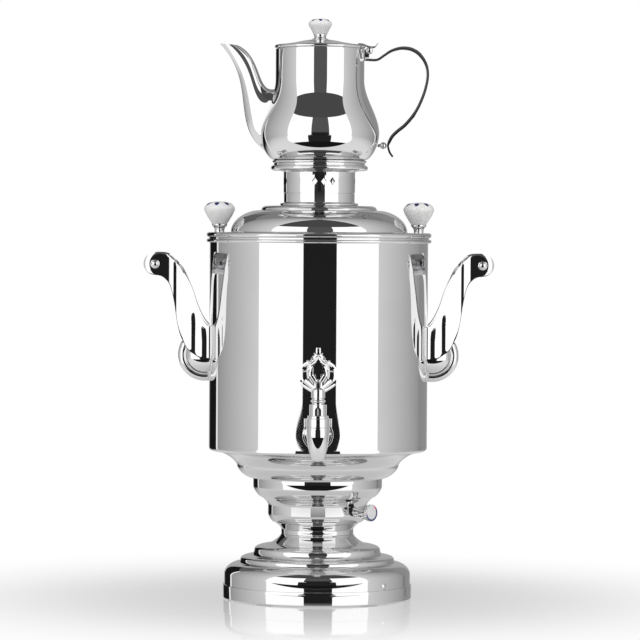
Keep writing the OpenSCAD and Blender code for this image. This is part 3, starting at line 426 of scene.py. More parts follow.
class Nodes:
    """Short way to place and join shader nodes in one tree."""

    def __init__(self, tree: bpy.types.NodeTree) -> None:
        """Keeps the tree."""
        self.tree = tree

    def add(self, kind: str, inputs: dict | None = None, **settings: object) -> bpy.types.Node:
        """Adds a node.

        Args:
            kind: Type of the node, without its ShaderNode prefix.
            inputs: Values or output sockets by input name or number.
            settings: Attributes of the node.

        Returns:
            The node.
        """
        made = self.tree.nodes.new("ShaderNode" + kind)
        for key, value in settings.items():
            setattr(made, key, value)
        for key, value in (inputs or {}).items():
            if isinstance(value, bpy.types.NodeSocket):
                self.tree.links.new(value, made.inputs[key])
            else:
                made.inputs[key].default_value = value
        return made

    def math(self, operation: str, *values: object) -> bpy.types.NodeSocket:
        """Result of a Math node."""
        return self.add("Math", dict(enumerate(values)), operation=operation).outputs[0]

    def ranged(self, value: object, low: float, high: float, to_low: float,
               to_high: float, kind: str = "SMOOTHSTEP") -> bpy.types.NodeSocket:
        """Result of a Map Range node."""
        return self.add("MapRange", {0: value, 1: low, 2: high, 3: to_low, 4: to_high},
                        interpolation_type=kind).outputs[0]

    def mixed(self, mask: object, a: object, b: object) -> bpy.types.NodeSocket:
        """Value a where the mask is 0 and b where it is 1."""
        return self.add("Mix", {0: mask, 2: a, 3: b}).outputs[0]

    def blend(self, mask: object, a: object, b: object) -> bpy.types.NodeSocket:
        """Colour a where the mask is 0 and b where it is 1."""
        made = self.add("Mix", {0: mask}, data_type="RGBA")
        for number, value in ((6, a), (7, b)):
            if isinstance(value, bpy.types.NodeSocket):
                self.tree.links.new(value, made.inputs[number])
            else:
                made.inputs[number].default_value = (*value, 1.0)
        return made.outputs[2]


def shader_group(name: str, inputs: dict[str, float], outputs: Sequence[str]) -> tuple:
    """Starts a shader node group.

    Args:
        name: Name of the group.
        inputs: Default of each input value.
        outputs: Names of the output values.

    Returns:
        The group, its node helper, its input node and its output node.
    """
    tree = bpy.data.node_groups.new(name, "ShaderNodeTree")
    for key, value in inputs.items():
        socket = tree.interface.new_socket(name=key, in_out="INPUT",
                                           socket_type="NodeSocketFloat")
        socket.default_value = value
    for key in outputs:
        tree.interface.new_socket(name=key, in_out="OUTPUT", socket_type="NodeSocketFloat")
    return (tree, Nodes(tree), tree.nodes.new("NodeGroupInput"),
            tree.nodes.new("NodeGroupOutput"))


def handling_group() -> bpy.types.NodeTree:
    """Group that gives a surface cloudy smudges and fine wheel marks.

    Returns:
        The group, made once.
    """
    if "handling" in bpy.data.node_groups:
        return bpy.data.node_groups["handling"]
    tree, n, entry, leave = shader_group(
        "handling", {"Smudge Scale": 20.0, "Mark Scale": 900.0, "Flatness": 0.08},
        ["Smudge", "Marks"])
    place = n.add("TexCoord").outputs["Object"]
    cloud = n.add("TexNoise", {"Vector": place, "Scale": entry.outputs["Smudge Scale"],
                               "Detail": 4.0, "Roughness": 0.6})
    flat = n.add("CombineXYZ", {0: 1.0, 1: 1.0, 2: entry.outputs["Flatness"]})
    squeezed = n.add("VectorMath", {0: place, 1: flat.outputs[0]}, operation="MULTIPLY")
    marks = n.add("TexNoise", {"Vector": squeezed.outputs[0],
                               "Scale": entry.outputs["Mark Scale"], "Detail": 2.0})
    tree.links.new(n.ranged(cloud.outputs[0], 0.42, 0.68, 0.0, 1.0), leave.inputs["Smudge"])
    tree.links.new(marks.outputs[0], leave.inputs["Marks"])
    return tree


@dataclass(frozen=True)
class Finish:
    """A procedural finish: a colour, a gloss and how handling has changed them."""

    name: str
    slot: Slot
    colour: Colour
    worn: Colour
    metallic: float = 0.0
    rough: float = 0.3
    rough_worn: float = 0.4
    coat: float = 0.0
    relief: float = 0.0
    smudge_scale: float = 20.0
    mark_scale: float = 900.0
    flatness: float = 1.0
    ior: float = 1.5

    def material(self) -> bpy.types.Material:
        """The material, made once."""
        return bpy.data.materials.get(self.name) or self.make()

    def make(self) -> bpy.types.Material:
        """Builds the material.

        Returns:
            The new material.
        """
        stuff = bpy.data.materials.new(self.name)
        stuff.use_nodes = True
        stuff.node_tree.nodes.clear()
        n = Nodes(stuff.node_tree)
        touch = n.add("Group", node_tree=handling_group())
        touch.inputs["Smudge Scale"].default_value = self.smudge_scale
        touch.inputs["Mark Scale"].default_value = self.mark_scale
        touch.inputs["Flatness"].default_value = self.flatness
        smudge, marks = touch.outputs["Smudge"], touch.outputs["Marks"]
        shader = n.add("BsdfPrincipled", {
            "Metallic": self.metallic, "IOR": self.ior, "Coat Weight": self.coat,
            "Coat Roughness": 0.03,
            "Roughness": n.ranged(smudge, 0.0, 1.0, self.rough, self.rough_worn, "LINEAR")})
        n.tree.links.new(self.tint(n, smudge, marks), shader.inputs["Base Color"])
        if self.relief:
            bump = n.add("Bump", {"Strength": self.relief, "Distance": 0.0002, "Height": marks})
            n.tree.links.new(bump.outputs[0], shader.inputs["Normal"])
        n.add("OutputMaterial", {"Surface": shader.outputs[0]})
        return stuff

    def tint(self, n: Nodes, smudge: bpy.types.NodeSocket,
             marks: bpy.types.NodeSocket) -> bpy.types.NodeSocket:
        """Colour of the surface, from its smudges."""
        return n.blend(smudge, self.colour, self.worn)


@dataclass(frozen=True)
class Porcelain(Finish):
    """White glaze with a ring of cobalt dots painted round the top of a knob."""

    centre: float = 0.0
    dot_ring: float = 12.4
    dot_length: float = 3.1
    dot_width: float = 2.3
    dots: int = 7
    dot_turn: float = 0.0
    lowest: float = 0.0
    cobalt: Colour = (0.006, 0.012, 0.13)

    def tint(self, n: Nodes, smudge: bpy.types.NodeSocket,
             marks: bpy.types.NodeSocket) -> bpy.types.NodeSocket:
        """Glaze colour with the painted dots.

        Args:
            n: Node helper of the material.
            smudge: Cloud mask.
            marks: Fine noise.

        Returns:
            The colour socket.
        """
        place = n.add("TexCoord").outputs["Object"]
        local = n.add("Mapping", {"Vector": place, "Location": (-self.centre * MM, 0, 0)})
        parts = n.add("SeparateXYZ", {0: local.outputs[0]}).outputs
        angle = n.math("SUBTRACT", n.math("ARCTAN2", parts[1], parts[0]),
                       math.radians(self.dot_turn - 90))
        cell = n.math("MULTIPLY", angle, self.dots / math.tau)
        inside = n.math("SUBTRACT", cell, n.math("ROUND", cell))
        across = n.math("MULTIPLY", inside, math.tau / self.dots)
        out = n.math("POWER", n.math("ADD", n.math("MULTIPLY", parts[0], parts[0]),
                                     n.math("MULTIPLY", parts[1], parts[1])), 0.5)
        side = n.math("DIVIDE", n.math("MULTIPLY", out, n.math("SINE", across)),
                      self.dot_width * MM)
        along = n.math("DIVIDE", n.math("SUBTRACT", n.math("MULTIPLY", out, n.math(
            "COSINE", across)), self.dot_ring * MM), self.dot_length * MM)
        far = n.math("POWER", n.math("ADD", n.math("MULTIPLY", side, side),
                                     n.math("MULTIPLY", along, along)), 0.5)
        ragged = n.math("ADD", far, n.math("MULTIPLY", n.math("SUBTRACT", marks, 0.5), 0.25))
        dot = n.math("MULTIPLY", n.ranged(ragged, 0.86, 1.04, 1.0, 0.0),
                     n.ranged(parts[2], (self.lowest - 0.4) * MM, self.lowest * MM, 0.0, 1.0))
        return n.blend(dot, n.blend(smudge, self.colour, self.worn), self.cobalt)


@dataclass(frozen=True)
class DialPrint(Finish):
    """White enamel with the heat scale printed round its edge."""

    azimuth: float = 46.0
    height: float = 98.3
    ring_in: float = 6.9
    ring_out: float = 8.75

    def tint(self, n: Nodes, smudge: bpy.types.NodeSocket,
             marks: bpy.types.NodeSocket) -> bpy.types.NodeSocket:
        """Enamel colour with the printed ring.

        Args:
            n: Node helper of the material.
            smudge: Cloud mask.
            marks: Fine noise; not used.

        Returns:
            The colour socket.
        """
        place = n.add("TexCoord").outputs["Object"]
        turn = n.add("VectorRotate", {"Vector": place, "Axis": (0, 0, 1),
                                      "Angle": math.radians(90 - self.azimuth)})
        parts = n.add("SeparateXYZ", {0: turn.outputs[0]}).outputs
        up = n.math("SUBTRACT", parts[2], self.height * MM)
        out = n.math("POWER", n.math("ADD", n.math("MULTIPLY", parts[1], parts[1]),
                                     n.math("MULTIPLY", up, up)), 0.5)
        angle = n.math("DIVIDE", n.math("ARCTAN2", up, parts[1]), math.tau)
        round_angle = n.math("FRACT", n.math("ADD", angle, 1.5))
        ramp = n.add("ValToRGB", {0: round_angle})
        stops = ((0.0, (0.72, 0.52, 0.58)), (0.03, (0.40, 0.32, 0.45)),
                 (0.06, (0.02, 0.05, 0.22)), (0.54, (0.01, 0.03, 0.18)),
                 (0.58, (0.30, 0.03, 0.12)), (0.61, (0.80, 0.08, 0.18)),
                 (0.66, (0.82, 0.30, 0.38)), (0.70, (0.82, 0.80, 0.80)),
                 (0.80, (0.82, 0.82, 0.82)), (0.835, (0.30, 0.60, 0.48)),
                 (0.87, (0.82, 0.82, 0.82)), (0.97, (0.80, 0.68, 0.72)))
        for spot, _ in stops[1:-1]:
            ramp.color_ramp.elements.new(spot)
        for element, (spot, colour) in zip(ramp.color_ramp.elements, stops):
            element.position = spot
            element.color = (*colour, 1)
        band = n.math("MULTIPLY", n.ranged(out, (self.ring_in - 0.15) * MM,
                                           (self.ring_in + 0.15) * MM, 0.0, 1.0),
                      n.ranged(out, (self.ring_out - 0.15) * MM,
                               (self.ring_out + 0.15) * MM, 1.0, 0.0))
        return n.blend(band, n.blend(smudge, self.colour, self.worn), ramp.outputs[0])


MIRROR = Finish("mirror_polished_steel", Slot.POLISHED, (0.80, 0.80, 0.805), (0.78, 0.78, 0.785),
                metallic=1.0, rough=0.012, rough_worn=0.03)
SATIN = Finish("turned_grip_steel", Slot.GRIP, (0.68, 0.68, 0.69), (0.62, 0.62, 0.63),
               metallic=1.0, rough=0.10, rough_worn=0.18, relief=0.15)
PLAIN = Finish("plain_drawn_steel", Slot.PLAIN, (0.56, 0.56, 0.57), (0.46, 0.46, 0.47),
               metallic=1.0, rough=0.28, rough_worn=0.42, relief=0.3, flatness=0.08)
SPINDLE = Finish("turned_spindle_steel", Slot.PLAIN, (0.74, 0.74, 0.75), (0.70, 0.70, 0.71),
                 metallic=1.0, rough=0.03, rough_worn=0.06)
RUBBER = Finish("black_rubber", Slot.RUBBER, (0.012, 0.012, 0.013), (0.03, 0.03, 0.03),
                rough=0.55, rough_worn=0.7, relief=0.5, mark_scale=1600.0)
CERAMIC = Finish("unglazed_ceramic", Slot.CERAMIC, (0.74, 0.72, 0.67), (0.66, 0.63, 0.57),
                 rough=0.5, rough_worn=0.65, relief=0.4, mark_scale=1400.0)
PLASTIC = Finish("black_moulded_plastic", Slot.PLASTIC, (0.02, 0.02, 0.022), (0.04, 0.04, 0.04),
                 rough=0.35, rough_worn=0.5, relief=0.25, mark_scale=1800.0)
ELEMENT = Finish("heater_tube_steel", Slot.ELEMENT, (0.42, 0.38, 0.33), (0.28, 0.20, 0.15),
                 metallic=1.0, rough=0.3, rough_worn=0.5, relief=0.3, smudge_scale=60.0)
ENAMEL = DialPrint("printed_dial_enamel", Slot.ENAMEL, (0.83, 0.83, 0.84), (0.80, 0.80, 0.81),
                   rough=0.2, rough_worn=0.28, coat=0.4)


def porcelain(name: str, centre: float, lowest: float, turn: float,
              scale: float = 1.0) -> Porcelain:
    """Glazed porcelain for one knob, with its dots round that knob's axis."""
    return Porcelain(name, Slot.PORCELAIN, (0.90, 0.90, 0.895), (0.88, 0.88, 0.87), rough=0.22,
                     rough_worn=0.26, coat=0.2, centre=centre, lowest=lowest, dot_turn=turn,
                     dot_ring=12.2 * scale, dot_length=3.1 * scale, dot_width=2.7 * scale)


# ---------------------------------------------------------------------------
# Studio
# ---------------------------------------------------------------------------


@dataclass
class Studio:
    """White room, glossy floor, glowing cards, soft lamps and the camera. Metres, degrees.

    The table and dark strip are painted light on the floor, and the cards glow with painted
    light; polished metal alone sees them: the camera sees a plain white room and floor in their place.
    """

    ring_r: float = 2.6
    soft: float = 0.006
    table_edge: float = 0.01
    table_wide: float = 66.0
    gap_low: float = 11.0
    panel_top: float = 2.55
    roof_r: float = 1.0
    roof_z: float = 3.5
    gap: float = 17.0
    gap_foot: float = 22.6
    gap_turn: float = 1.2
    table_front: float = 0.52
    table_end: float = 0.94
    panel_light: float = 1.32
    panel_end: float = 64.0
    side_end: float = 130.0
    rear_start: float = 162.0
    floor_r: float = 14.0
    base_r: float = 0.104
    eye: tuple[float, float, float] = (0.0, -4.0, 0.412)
    aim: tuple[float, float, float] = (0.0016, 0.0, 0.3063)
    lens: float = 204.5
    roll: float = 0.34

    def build(self) -> None:
        """Makes everything that isn't the samovar."""
        scene = bpy.context.scene
        scene.view_settings.view_transform = "Standard"
        self.camera(scene)
        self.world(scene)
        self.floor()
        self.cards()
        self.lamp("key", (-1.9, -2.6, 2.6), 2.2, 46.0)
        self.lamp("fill", (2.4, -2.0, 1.6), 2.4, 24.0)
        self.lamp("rim", (0.6, 2.6, 2.4), 2.0, 14.0)

    def camera(self, scene: bpy.types.Scene) -> None:
        """Adds the camera in front of the samovar.

        Args:
            scene: Scene that looks through it.
        """
        data = bpy.data.cameras.new("camera")
        data.lens = self.lens
        data.sensor_width = 36.0
        data.clip_end = 60.0
        thing = bpy.data.objects.new("camera", data)
        way = Vector(self.aim) - Vector(self.eye)
        thing.matrix_world = (Matrix.Translation(self.eye)
                              @ way.to_track_quat("-Z", "Y").to_matrix().to_4x4()
                              @ Matrix.Rotation(math.radians(self.roll), 4, "Z"))
        scene.collection.objects.link(thing)
        scene.camera = thing

    def world(self, scene: bpy.types.Scene) -> None:
        """Makes a room that is white where it is seen and plain where it lights.

        Args:
            scene: Scene that it surrounds.
        """
        room = bpy.data.worlds.new("white_room")
        room.use_nodes = True
        room.node_tree.nodes.clear()
        n = Nodes(room.node_tree)
        seen = self.seen(n)
        plain = n.add("Background", {"Color": (1, 1, 1, 1), "Strength": 0.55})
        white = n.add("Background", {"Color": (1, 1, 1, 1), "Strength": 1.0})
        both = n.add("MixShader", {0: seen, 1: plain.outputs[0], 2: white.outputs[0]})
        n.add("OutputWorld", {"Surface": both.outputs[0]})
        scene.world = room

    def seen(self, n: Nodes) -> bpy.types.NodeSocket:
        """1 for rays that see the surface: straight, mirrored or through glass."""
        ray = n.add("LightPath")
        return n.math("MAXIMUM", ray.outputs["Is Camera Ray"],
                      n.math("MAXIMUM", ray.outputs["Is Glossy Ray"],
                             ray.outputs["Is Transmission Ray"]))

    def floor(self) -> None:
        """Lays a floor that the camera sees as white, with a faint mirror image and a shadow.

        Polished metal doesn't see that white: mirror rays meet the painted light of `table_light` in
        its place.
        """
        mesh = bmesh.new()
        bmesh.ops.create_circle(mesh, cap_ends=True, radius=self.floor_r, segments=96)
        stuff = bpy.data.materials.new("white_glossy_floor")
        stuff.use_nodes = True
        stuff.node_tree.nodes.clear()
        n = Nodes(stuff.node_tree)
        place = n.add("TexCoord").outputs["Object"]
        out = n.add("VectorMath", {0: place}, operation="LENGTH").outputs["Value"]
        ray = n.add("LightPath")
        lit = n.add("BsdfPrincipled", {"Base Color": (0.87, 0.87, 0.87, 1), "Roughness": 0.5})
        white = n.add("Emission", {"Color": (1, 1, 1, 1), "Strength": 1.0})
        strength, ahead = self.table_light(n, out)
        # painted light: the floor's brightness as polished metal sees it
        grey = n.add("Emission", {"Color": (1, 1, 1, 1), "Strength": strength})
        mirror = n.add("BsdfGlossy", {"Color": (1, 1, 1, 1), "Roughness": 0.04})
        shade = n.ranged(out, self.base_r, 0.42, 0.35, 0.0)
        near = n.add("MixShader", {0: shade, 1: white.outputs[0], 2: lit.outputs[0]})
        gloss = n.ranged(out, self.base_r, 0.60, 0.46, 0.0)
        shown = n.add("MixShader", {0: gloss, 1: near.outputs[0], 2: mirror.outputs[0]})
        graze = n.math("MULTIPLY", n.math("SUBTRACT", 1.0, ahead),
                       n.ranged(n.add("Fresnel", {"IOR": 1.5}).outputs[0], 0.06, 0.42, 0.0, 1.0))
        sheen = n.add("BsdfGlossy", {"Color": (1, 1, 1, 1), "Roughness": 0.02})
        polished = n.add("MixShader", {0: graze, 1: grey.outputs[0], 2: sheen.outputs[0]})
        bounced = n.add("MixShader", {0: ray.outputs["Is Glossy Ray"], 1: lit.outputs[0],
                                      2: polished.outputs[0]})
        both = n.add("MixShader", {0: ray.outputs["Is Camera Ray"], 1: bounced.outputs[0],
                                   2: shown.outputs[0]})
        n.add("OutputMaterial", {"Surface": both.outputs[0]})
        self.prop(mesh, "floor", stuff)

    def table_light(self, n: Nodes, out: bpy.types.NodeSocket) -> tuple[
            bpy.types.NodeSocket, bpy.types.NodeSocket]:
        """Painted light that polished metal sees in place of the floor: a painted table, darker near
        the axis, a dark strip of painted shade and the far floor.

        Args:
            n: Node helper of the floor.
            out: Distance from the samovar's axis.

        Returns:
            The strength, and a mask that is 1 past the table's front edge.
        """
        angle = self.bearing(n)[0]
        parts = n.add("SeparateXYZ", {0: n.add("TexCoord").outputs["Object"]}).outputs
        front = n.math("MULTIPLY", parts[1], -1.0)
        # painted light: the table as polished metal sees it, darker near the samovar's axis
        painted_table = n.ranged(out, 0.1, 0.6, 0.62, 0.85)
        off = n.math("ABSOLUTE", angle)
        foot = math.radians(self.gap_foot)
        far = n.mixed(n.ranged(off, foot - self.soft, foot + self.soft, 0.0, 1.0),
                      0.02, self.panel_light)
        edge = self.table_edge
        # painted shade: a near-black strip out to table_end; past it the far floor, dark in the
        # camera's gap
        strip = n.mixed(n.ranged(out, self.table_end - edge, self.table_end + edge, 0.0, 1.0),
                        0.01, far)
        ahead = n.math("MULTIPLY",
                       n.ranged(front, self.table_front - edge, self.table_front + edge, 0.0, 1.0),
                       n.ranged(off, math.radians(self.table_wide - 2),
                                math.radians(self.table_wide + 2), 1.0, 0.0))
        return n.mixed(ahead, painted_table, strip), ahead

    def prop(self, mesh: BMesh, name: str, stuff: bpy.types.Material) -> bpy.types.Object:
        """Adds a thing that belongs to the studio.

        Args:
            mesh: Its shape in metres; it is freed.
            name: Its name.
            stuff: Its material.

        Returns:
            The object.
        """
        data = bpy.data.meshes.new(name)
        mesh.to_mesh(data)
        mesh.free()
        data.materials.append(stuff)
        thing = bpy.data.objects.new(name, data)
        bpy.context.scene.collection.objects.link(thing)
        return thing

    def bearing(self, n: Nodes) -> tuple[bpy.types.NodeSocket, bpy.types.NodeSocket]:
        """Direction of a place from the front to the right, in radians, and its height."""
        parts = n.add("SeparateXYZ", {0: n.add("TexCoord").outputs["Object"]}).outputs
        return n.math("ARCTAN2", parts[0], n.math("MULTIPLY", parts[1], -1.0)), parts[2]

    def front_light(self, n: Nodes) -> bpy.types.NodeSocket:
        """Brightness of the front wall: two white panels with the camera's gap between them."""
        angle, z = self.bearing(n)
        foot, gap = math.radians(self.gap_foot), math.radians(self.gap)
        edge = n.math("MINIMUM", n.ranged(z, 0.038, 0.10, foot, gap),
                      n.ranged(z, -0.02, 0.04, math.radians(self.gap_low), foot))
        turn = n.ranged(edge, gap, foot, math.radians(self.gap_turn), 0.0)
        over = n.math("SUBTRACT", n.math("ABSOLUTE", n.math("SUBTRACT", angle, turn)), edge)
        return n.mixed(n.ranged(over, -self.soft, self.soft, 0.0, 1.0),
                       n.ranged(z, 0.4, 0.72, 0.016, 0.10, "LINEAR"), self.panel_light)

    def card(self, name: str, start: float, stop: float, path: Path,
             light: float | Callable[[Nodes], bpy.types.NodeSocket],
             fade_to: float | None = None) -> None:
        """Bends a card that glows with painted light round the samovar; only polished metal sees it.

        Args:
            name: Name of the card.
            start: Direction of one end, from the front to the right.
            stop: Direction of the other end.
            path: Its section as (radius, height).
            light: Brightness at the end that is nearer the front, or what works it out.
            fade_to: Brightness at the far end, where it differs.
        """
        mesh = bmesh.new()
        side = math.radians(start - 90)
        verts = [mesh.verts.new((r * math.cos(side), r * math.sin(side), z)) for r, z in path]
        edges = [mesh.edges.new(pair) for pair in zip(verts, verts[1:])]
        bmesh.ops.spin(mesh, geom=verts + edges, cent=(0, 0, 0), axis=(0, 0, 1),
                       angle=math.radians(stop - start), use_merge=False,
                       steps=max(4, int(abs(stop - start) / 3)))
        stuff = bpy.data.materials.new(name)
        stuff.use_nodes = True
        stuff.node_tree.nodes.clear()
        n = Nodes(stuff.node_tree)
        strength = light(n) if callable(light) else light
        if fade_to is not None:
            angle = n.math("ABSOLUTE", self.bearing(n)[0])
            ends = sorted((abs(start), abs(stop)))
            strength = n.ranged(angle, math.radians(ends[0]), math.radians(ends[1]),
                                light, fade_to, "LINEAR")
        # painted light: the card glows by itself; no lamp lights it
        glow = n.add("Emission", {"Color": (1, 1, 1, 1), "Strength": strength})
        n.add("OutputMaterial", {"Surface": glow.outputs[0]})
        thing = self.prop(mesh, name, stuff)
        thing.visible_camera = False
        thing.visible_diffuse = False
        thing.visible_shadow = False

    def cards(self) -> None:
        """Stands the glowing cards in a ring, with a dark canopy over the front ones."""
        wall = [(self.ring_r, 0.0), (self.ring_r, self.panel_top)]
        roof = [(self.ring_r, self.panel_top), (self.roof_r, self.roof_z), (0.02, self.roof_z)]
        self.card("front_wall", -self.panel_end, self.panel_end, wall, self.front_light)
        for name, side in (("right", 1), ("left", -1)):
            self.card(f"grey_wall_{name}", side * self.panel_end, side * self.side_end,
                      wall + roof[1:], 0.74, 0.34)
            self.card(f"rear_canopy_{name}", side * self.side_end, side * 180,
                      [(self.ring_r, 1.5), (self.ring_r, self.panel_top)] + roof[1:], 0.24)
            self.card(f"rear_back_{name}", side * self.rear_start, side * 180,
                      [(self.ring_r, 0.0), (self.ring_r, 1.5)], 0.42)
        self.card("front_canopy", -self.panel_end, self.panel_end, roof, 0.075)
        self.card("rear_flag", -134, -self.rear_start, wall, 0.01)
        self.card("rear_line", self.side_end + 1.2, self.side_end + 2.6, [(1.0, 0.0), (1.0, 0.1)],
                  0.03)
        self.card("rear_grey", self.side_end, self.rear_start, wall, 0.30)

    def lamp(self, name: str, place: tuple[float, float, float], size: float,
             watts: float) -> None:
        """Adds a soft square lamp that points at the samovar.

        Args:
            name: Name of the lamp.
            place: Where it hangs.
            size: Length of its side.
            watts: Its power.
        """
        data = bpy.data.lights.new(name, "AREA")
        data.shape = "SQUARE"
        data.size = size
        data.energy = watts
        thing = bpy.data.objects.new(name, data)
        way = Vector((0, 0, 0.3)) - Vector(place)
        thing.matrix_world = (Matrix.Translation(place)
                              @ way.to_track_quat("-Z", "Y").to_matrix().to_4x4())
        thing.visible_glossy = False
        bpy.context.scene.collection.objects.link(thing)


# ---------------------------------------------------------------------------
# Sub-assemblies
# ---------------------------------------------------------------------------


@dataclass
class Foot:
    """Skirt ring and stepped cover with its screws."""

    r: float = 103.7
    skirt_z: float = 15.7
    band_h: float = 11.3
    step_one: Point = (14.4, 12.3)
    step_two: Point = (13.0, 7.9)
    step_three: Point = (19.0, 12.0)
    sweep_h: float = 11.8
    waist_r: float = 39.7
    sheet: float = 1.2
    screw_r: float = 3.3

    def build(self) -> None:
        """Makes the foot's pieces."""
        self.skirt()
        self.cover()
        self.screws()

    def skirt(self) -> None:
        """Makes the ring that the samovar stands on."""
        r = self.r
        inner = r - self.sheet
        outline = [(r - 7, 2.6), (r - 7, 4), (inner, 4), (inner, self.skirt_z - 0.3),
                   (inner + 0.3, self.skirt_z)]
        outline += arc((r - 0.45, self.skirt_z - 0.45), 0.45, 90, 0, 5)
        outline += arc((r - 0.7, 1.7), 0.7, 0, -90, 6) + [(r - 1.8, 1.0), (r - 2.6, 2.6)]
        piece(spun(outline), "foot_skirt", MIRROR, Body.SAMOVAR, ["foot_skirt"])

    def cover_path(self) -> Path:
        """Outer face of the stepped cover, from the bottom up."""
        r = self.r - self.sheet - 0.1
        z1 = self.skirt_z + self.band_h
        a, b = (r, z1), (r - self.step_one[0], z1 + self.step_one[1])
        c = (b[0] - 3.5, b[1] + 4.2)
        d = (b[0] - self.step_two[0], b[1] + self.step_two[1])
        e = (d[0] - 5.8, d[1] + 6.8)
        f = (b[0] - self.step_two[0] - self.step_three[0] , d[1] + self.step_three[1])
        g = (self.waist_r, f[1] + self.sweep_h)
        return tidy([(r, self.skirt_z - 7)] + rise(a, b, 1.1) + reach(b, c) + rise(c, d)
                    + reach(d, e) + rise(e, f) + reach(f, g, 1.5))

    def cover(self) -> None:
        """Makes the stepped cover."""
        piece(spun(walled(self.cover_path(), self.sheet)), "foot_cover", MIRROR, Body.SAMOVAR,
              ["foot_cover"], crease=60)

    def screws(self) -> None:
        """Makes the two domed screws of the cover."""
        r = self.r - self.sheet - 0.1
        heads = []
        for azimuth in (45, 225):
            head = spun([(0, -4), (1.5, -4), (1.5, -0.3), (self.screw_r, -0.3)]
                        + arc((0, -4.0), 5.1, 47, 90, 10), closed=False, steps=32)
            heads.append(moved(head, facing(azimuth) @ at(r + 0.2, 0, self.skirt_z + 4)
                               @ turned(90, "Y")))
        piece(joined(*heads), "cover_screws", MIRROR, Body.SAMOVAR, ["cover_screws"])


@dataclass
class Pedestal:
    """Waist collar and stepped bowl between the foot and the tank."""

    waist_r: float = 39.7
    waist_z: float = 71.0
    bowl_z: float = 76.5
    bowl_r: float = 54.5
    band_z: float = 93.3
    cup_z: float = 103.3
    cup_r: float = 71.0
    cup_band_z: float = 123.3
    tank_z: float = 132.5
    sheet: float = 1.2

    def build(self) -> None:
        """Makes the collar and the bowl."""
        r, low, high = self.waist_r, self.waist_z, self.bowl_z
        outline = ([(r - 3, low)] + arc((r - 0.6, low + 0.6), 0.6, -90, 0, 5)
                   + arc((r - 0.6, high - 0.6), 0.6, 0, 90, 5) + [(r - 3, high)])
        piece(spun(outline), "waist_collar", MIRROR, Body.SAMOVAR, ["waist_collar"])
        bowl = spun(walled(self.bowl_path(), self.sheet))
        inner = self.cup_r - 7.5
        flange = spun([(inner, self.tank_z - self.sheet), (self.cup_r - 1.1, self.tank_z - self.sheet),
                       (self.cup_r - 1.1, self.tank_z - 0.05), (inner, self.tank_z - 0.05)])
        piece(joined(bowl, flange), "pedestal_bowl", MIRROR, Body.SAMOVAR, ["pedestal_bowl"],
              crease=60)

    def bowl_path(self) -> Path:
        """Outer face of the bowl, from the bottom up."""
        mid = (self.bowl_r - 5.5, self.bowl_z + (self.band_z - self.bowl_z) * 0.48)
        cup_mid = ((self.bowl_r + self.cup_r) / 2,
                   self.cup_z + (self.cup_band_z - self.cup_z) * 0.44)
        return tidy(rise((self.waist_r, self.bowl_z), mid, 1.5)
                    + reach(mid, (self.bowl_r, self.band_z), 1.5)
                    + rise((self.bowl_r, self.cup_z), cup_mid, 1.5)
                    + reach(cup_mid, (self.cup_r, self.cup_band_z), 1.5)
                    + [(self.cup_r, self.tank_z)])


@dataclass
class Tank:
    """Flared bottom and upright wall with its rolled bead."""

    r: float = 120.0
    cup_r: float = 71.0
    floor_z: float = 132.5
    wall_z: float = 169.3
    rim_z: float = 391.3
    bead: float = 2.0
    sheet: float = 1.2

    def build(self) -> None:
        """Makes the tank's two sheets."""
        piece(spun([(0, self.floor_z)] + self.flare() + shifted(self.flare(), self.sheet)[::-1]
                   + [(0, self.floor_z + self.sheet)], closed=False),
              "tank_bottom", MIRROR, Body.SAMOVAR, ["tank_bottom"], crease=50)
        r, z = self.r, self.rim_z + self.bead
        rim = arc((r + self.bead - 0.3, z), self.bead, -145, 145, 20)
        outline = ([(r - self.sheet, self.wall_z), (r, self.wall_z)] + rim
                   + [(r, z + self.bead), (r - self.sheet, z + self.bead)])
        piece(spun(outline), "tank_wall", MIRROR, Body.SAMOVAR, ["tank_wall"])

    def flare(self) -> Path:
        """Outer face of the flared bottom, from its flat centre up."""
        h = self.wall_z - self.floor_z
        low = (self.cup_r + 18, self.floor_z + h * 0.38)
        high = (self.r - 5, self.floor_z + h * 0.82)
        return tidy([(self.cup_r + 0.6, self.floor_z)]
                    + reach((self.cup_r + 0.6, self.floor_z), low, 1.3) + rise(low, high, 1.3)
                    + reach(high, (self.r, self.wall_z - 3)) + [(self.r, self.wall_z - 0.05)])


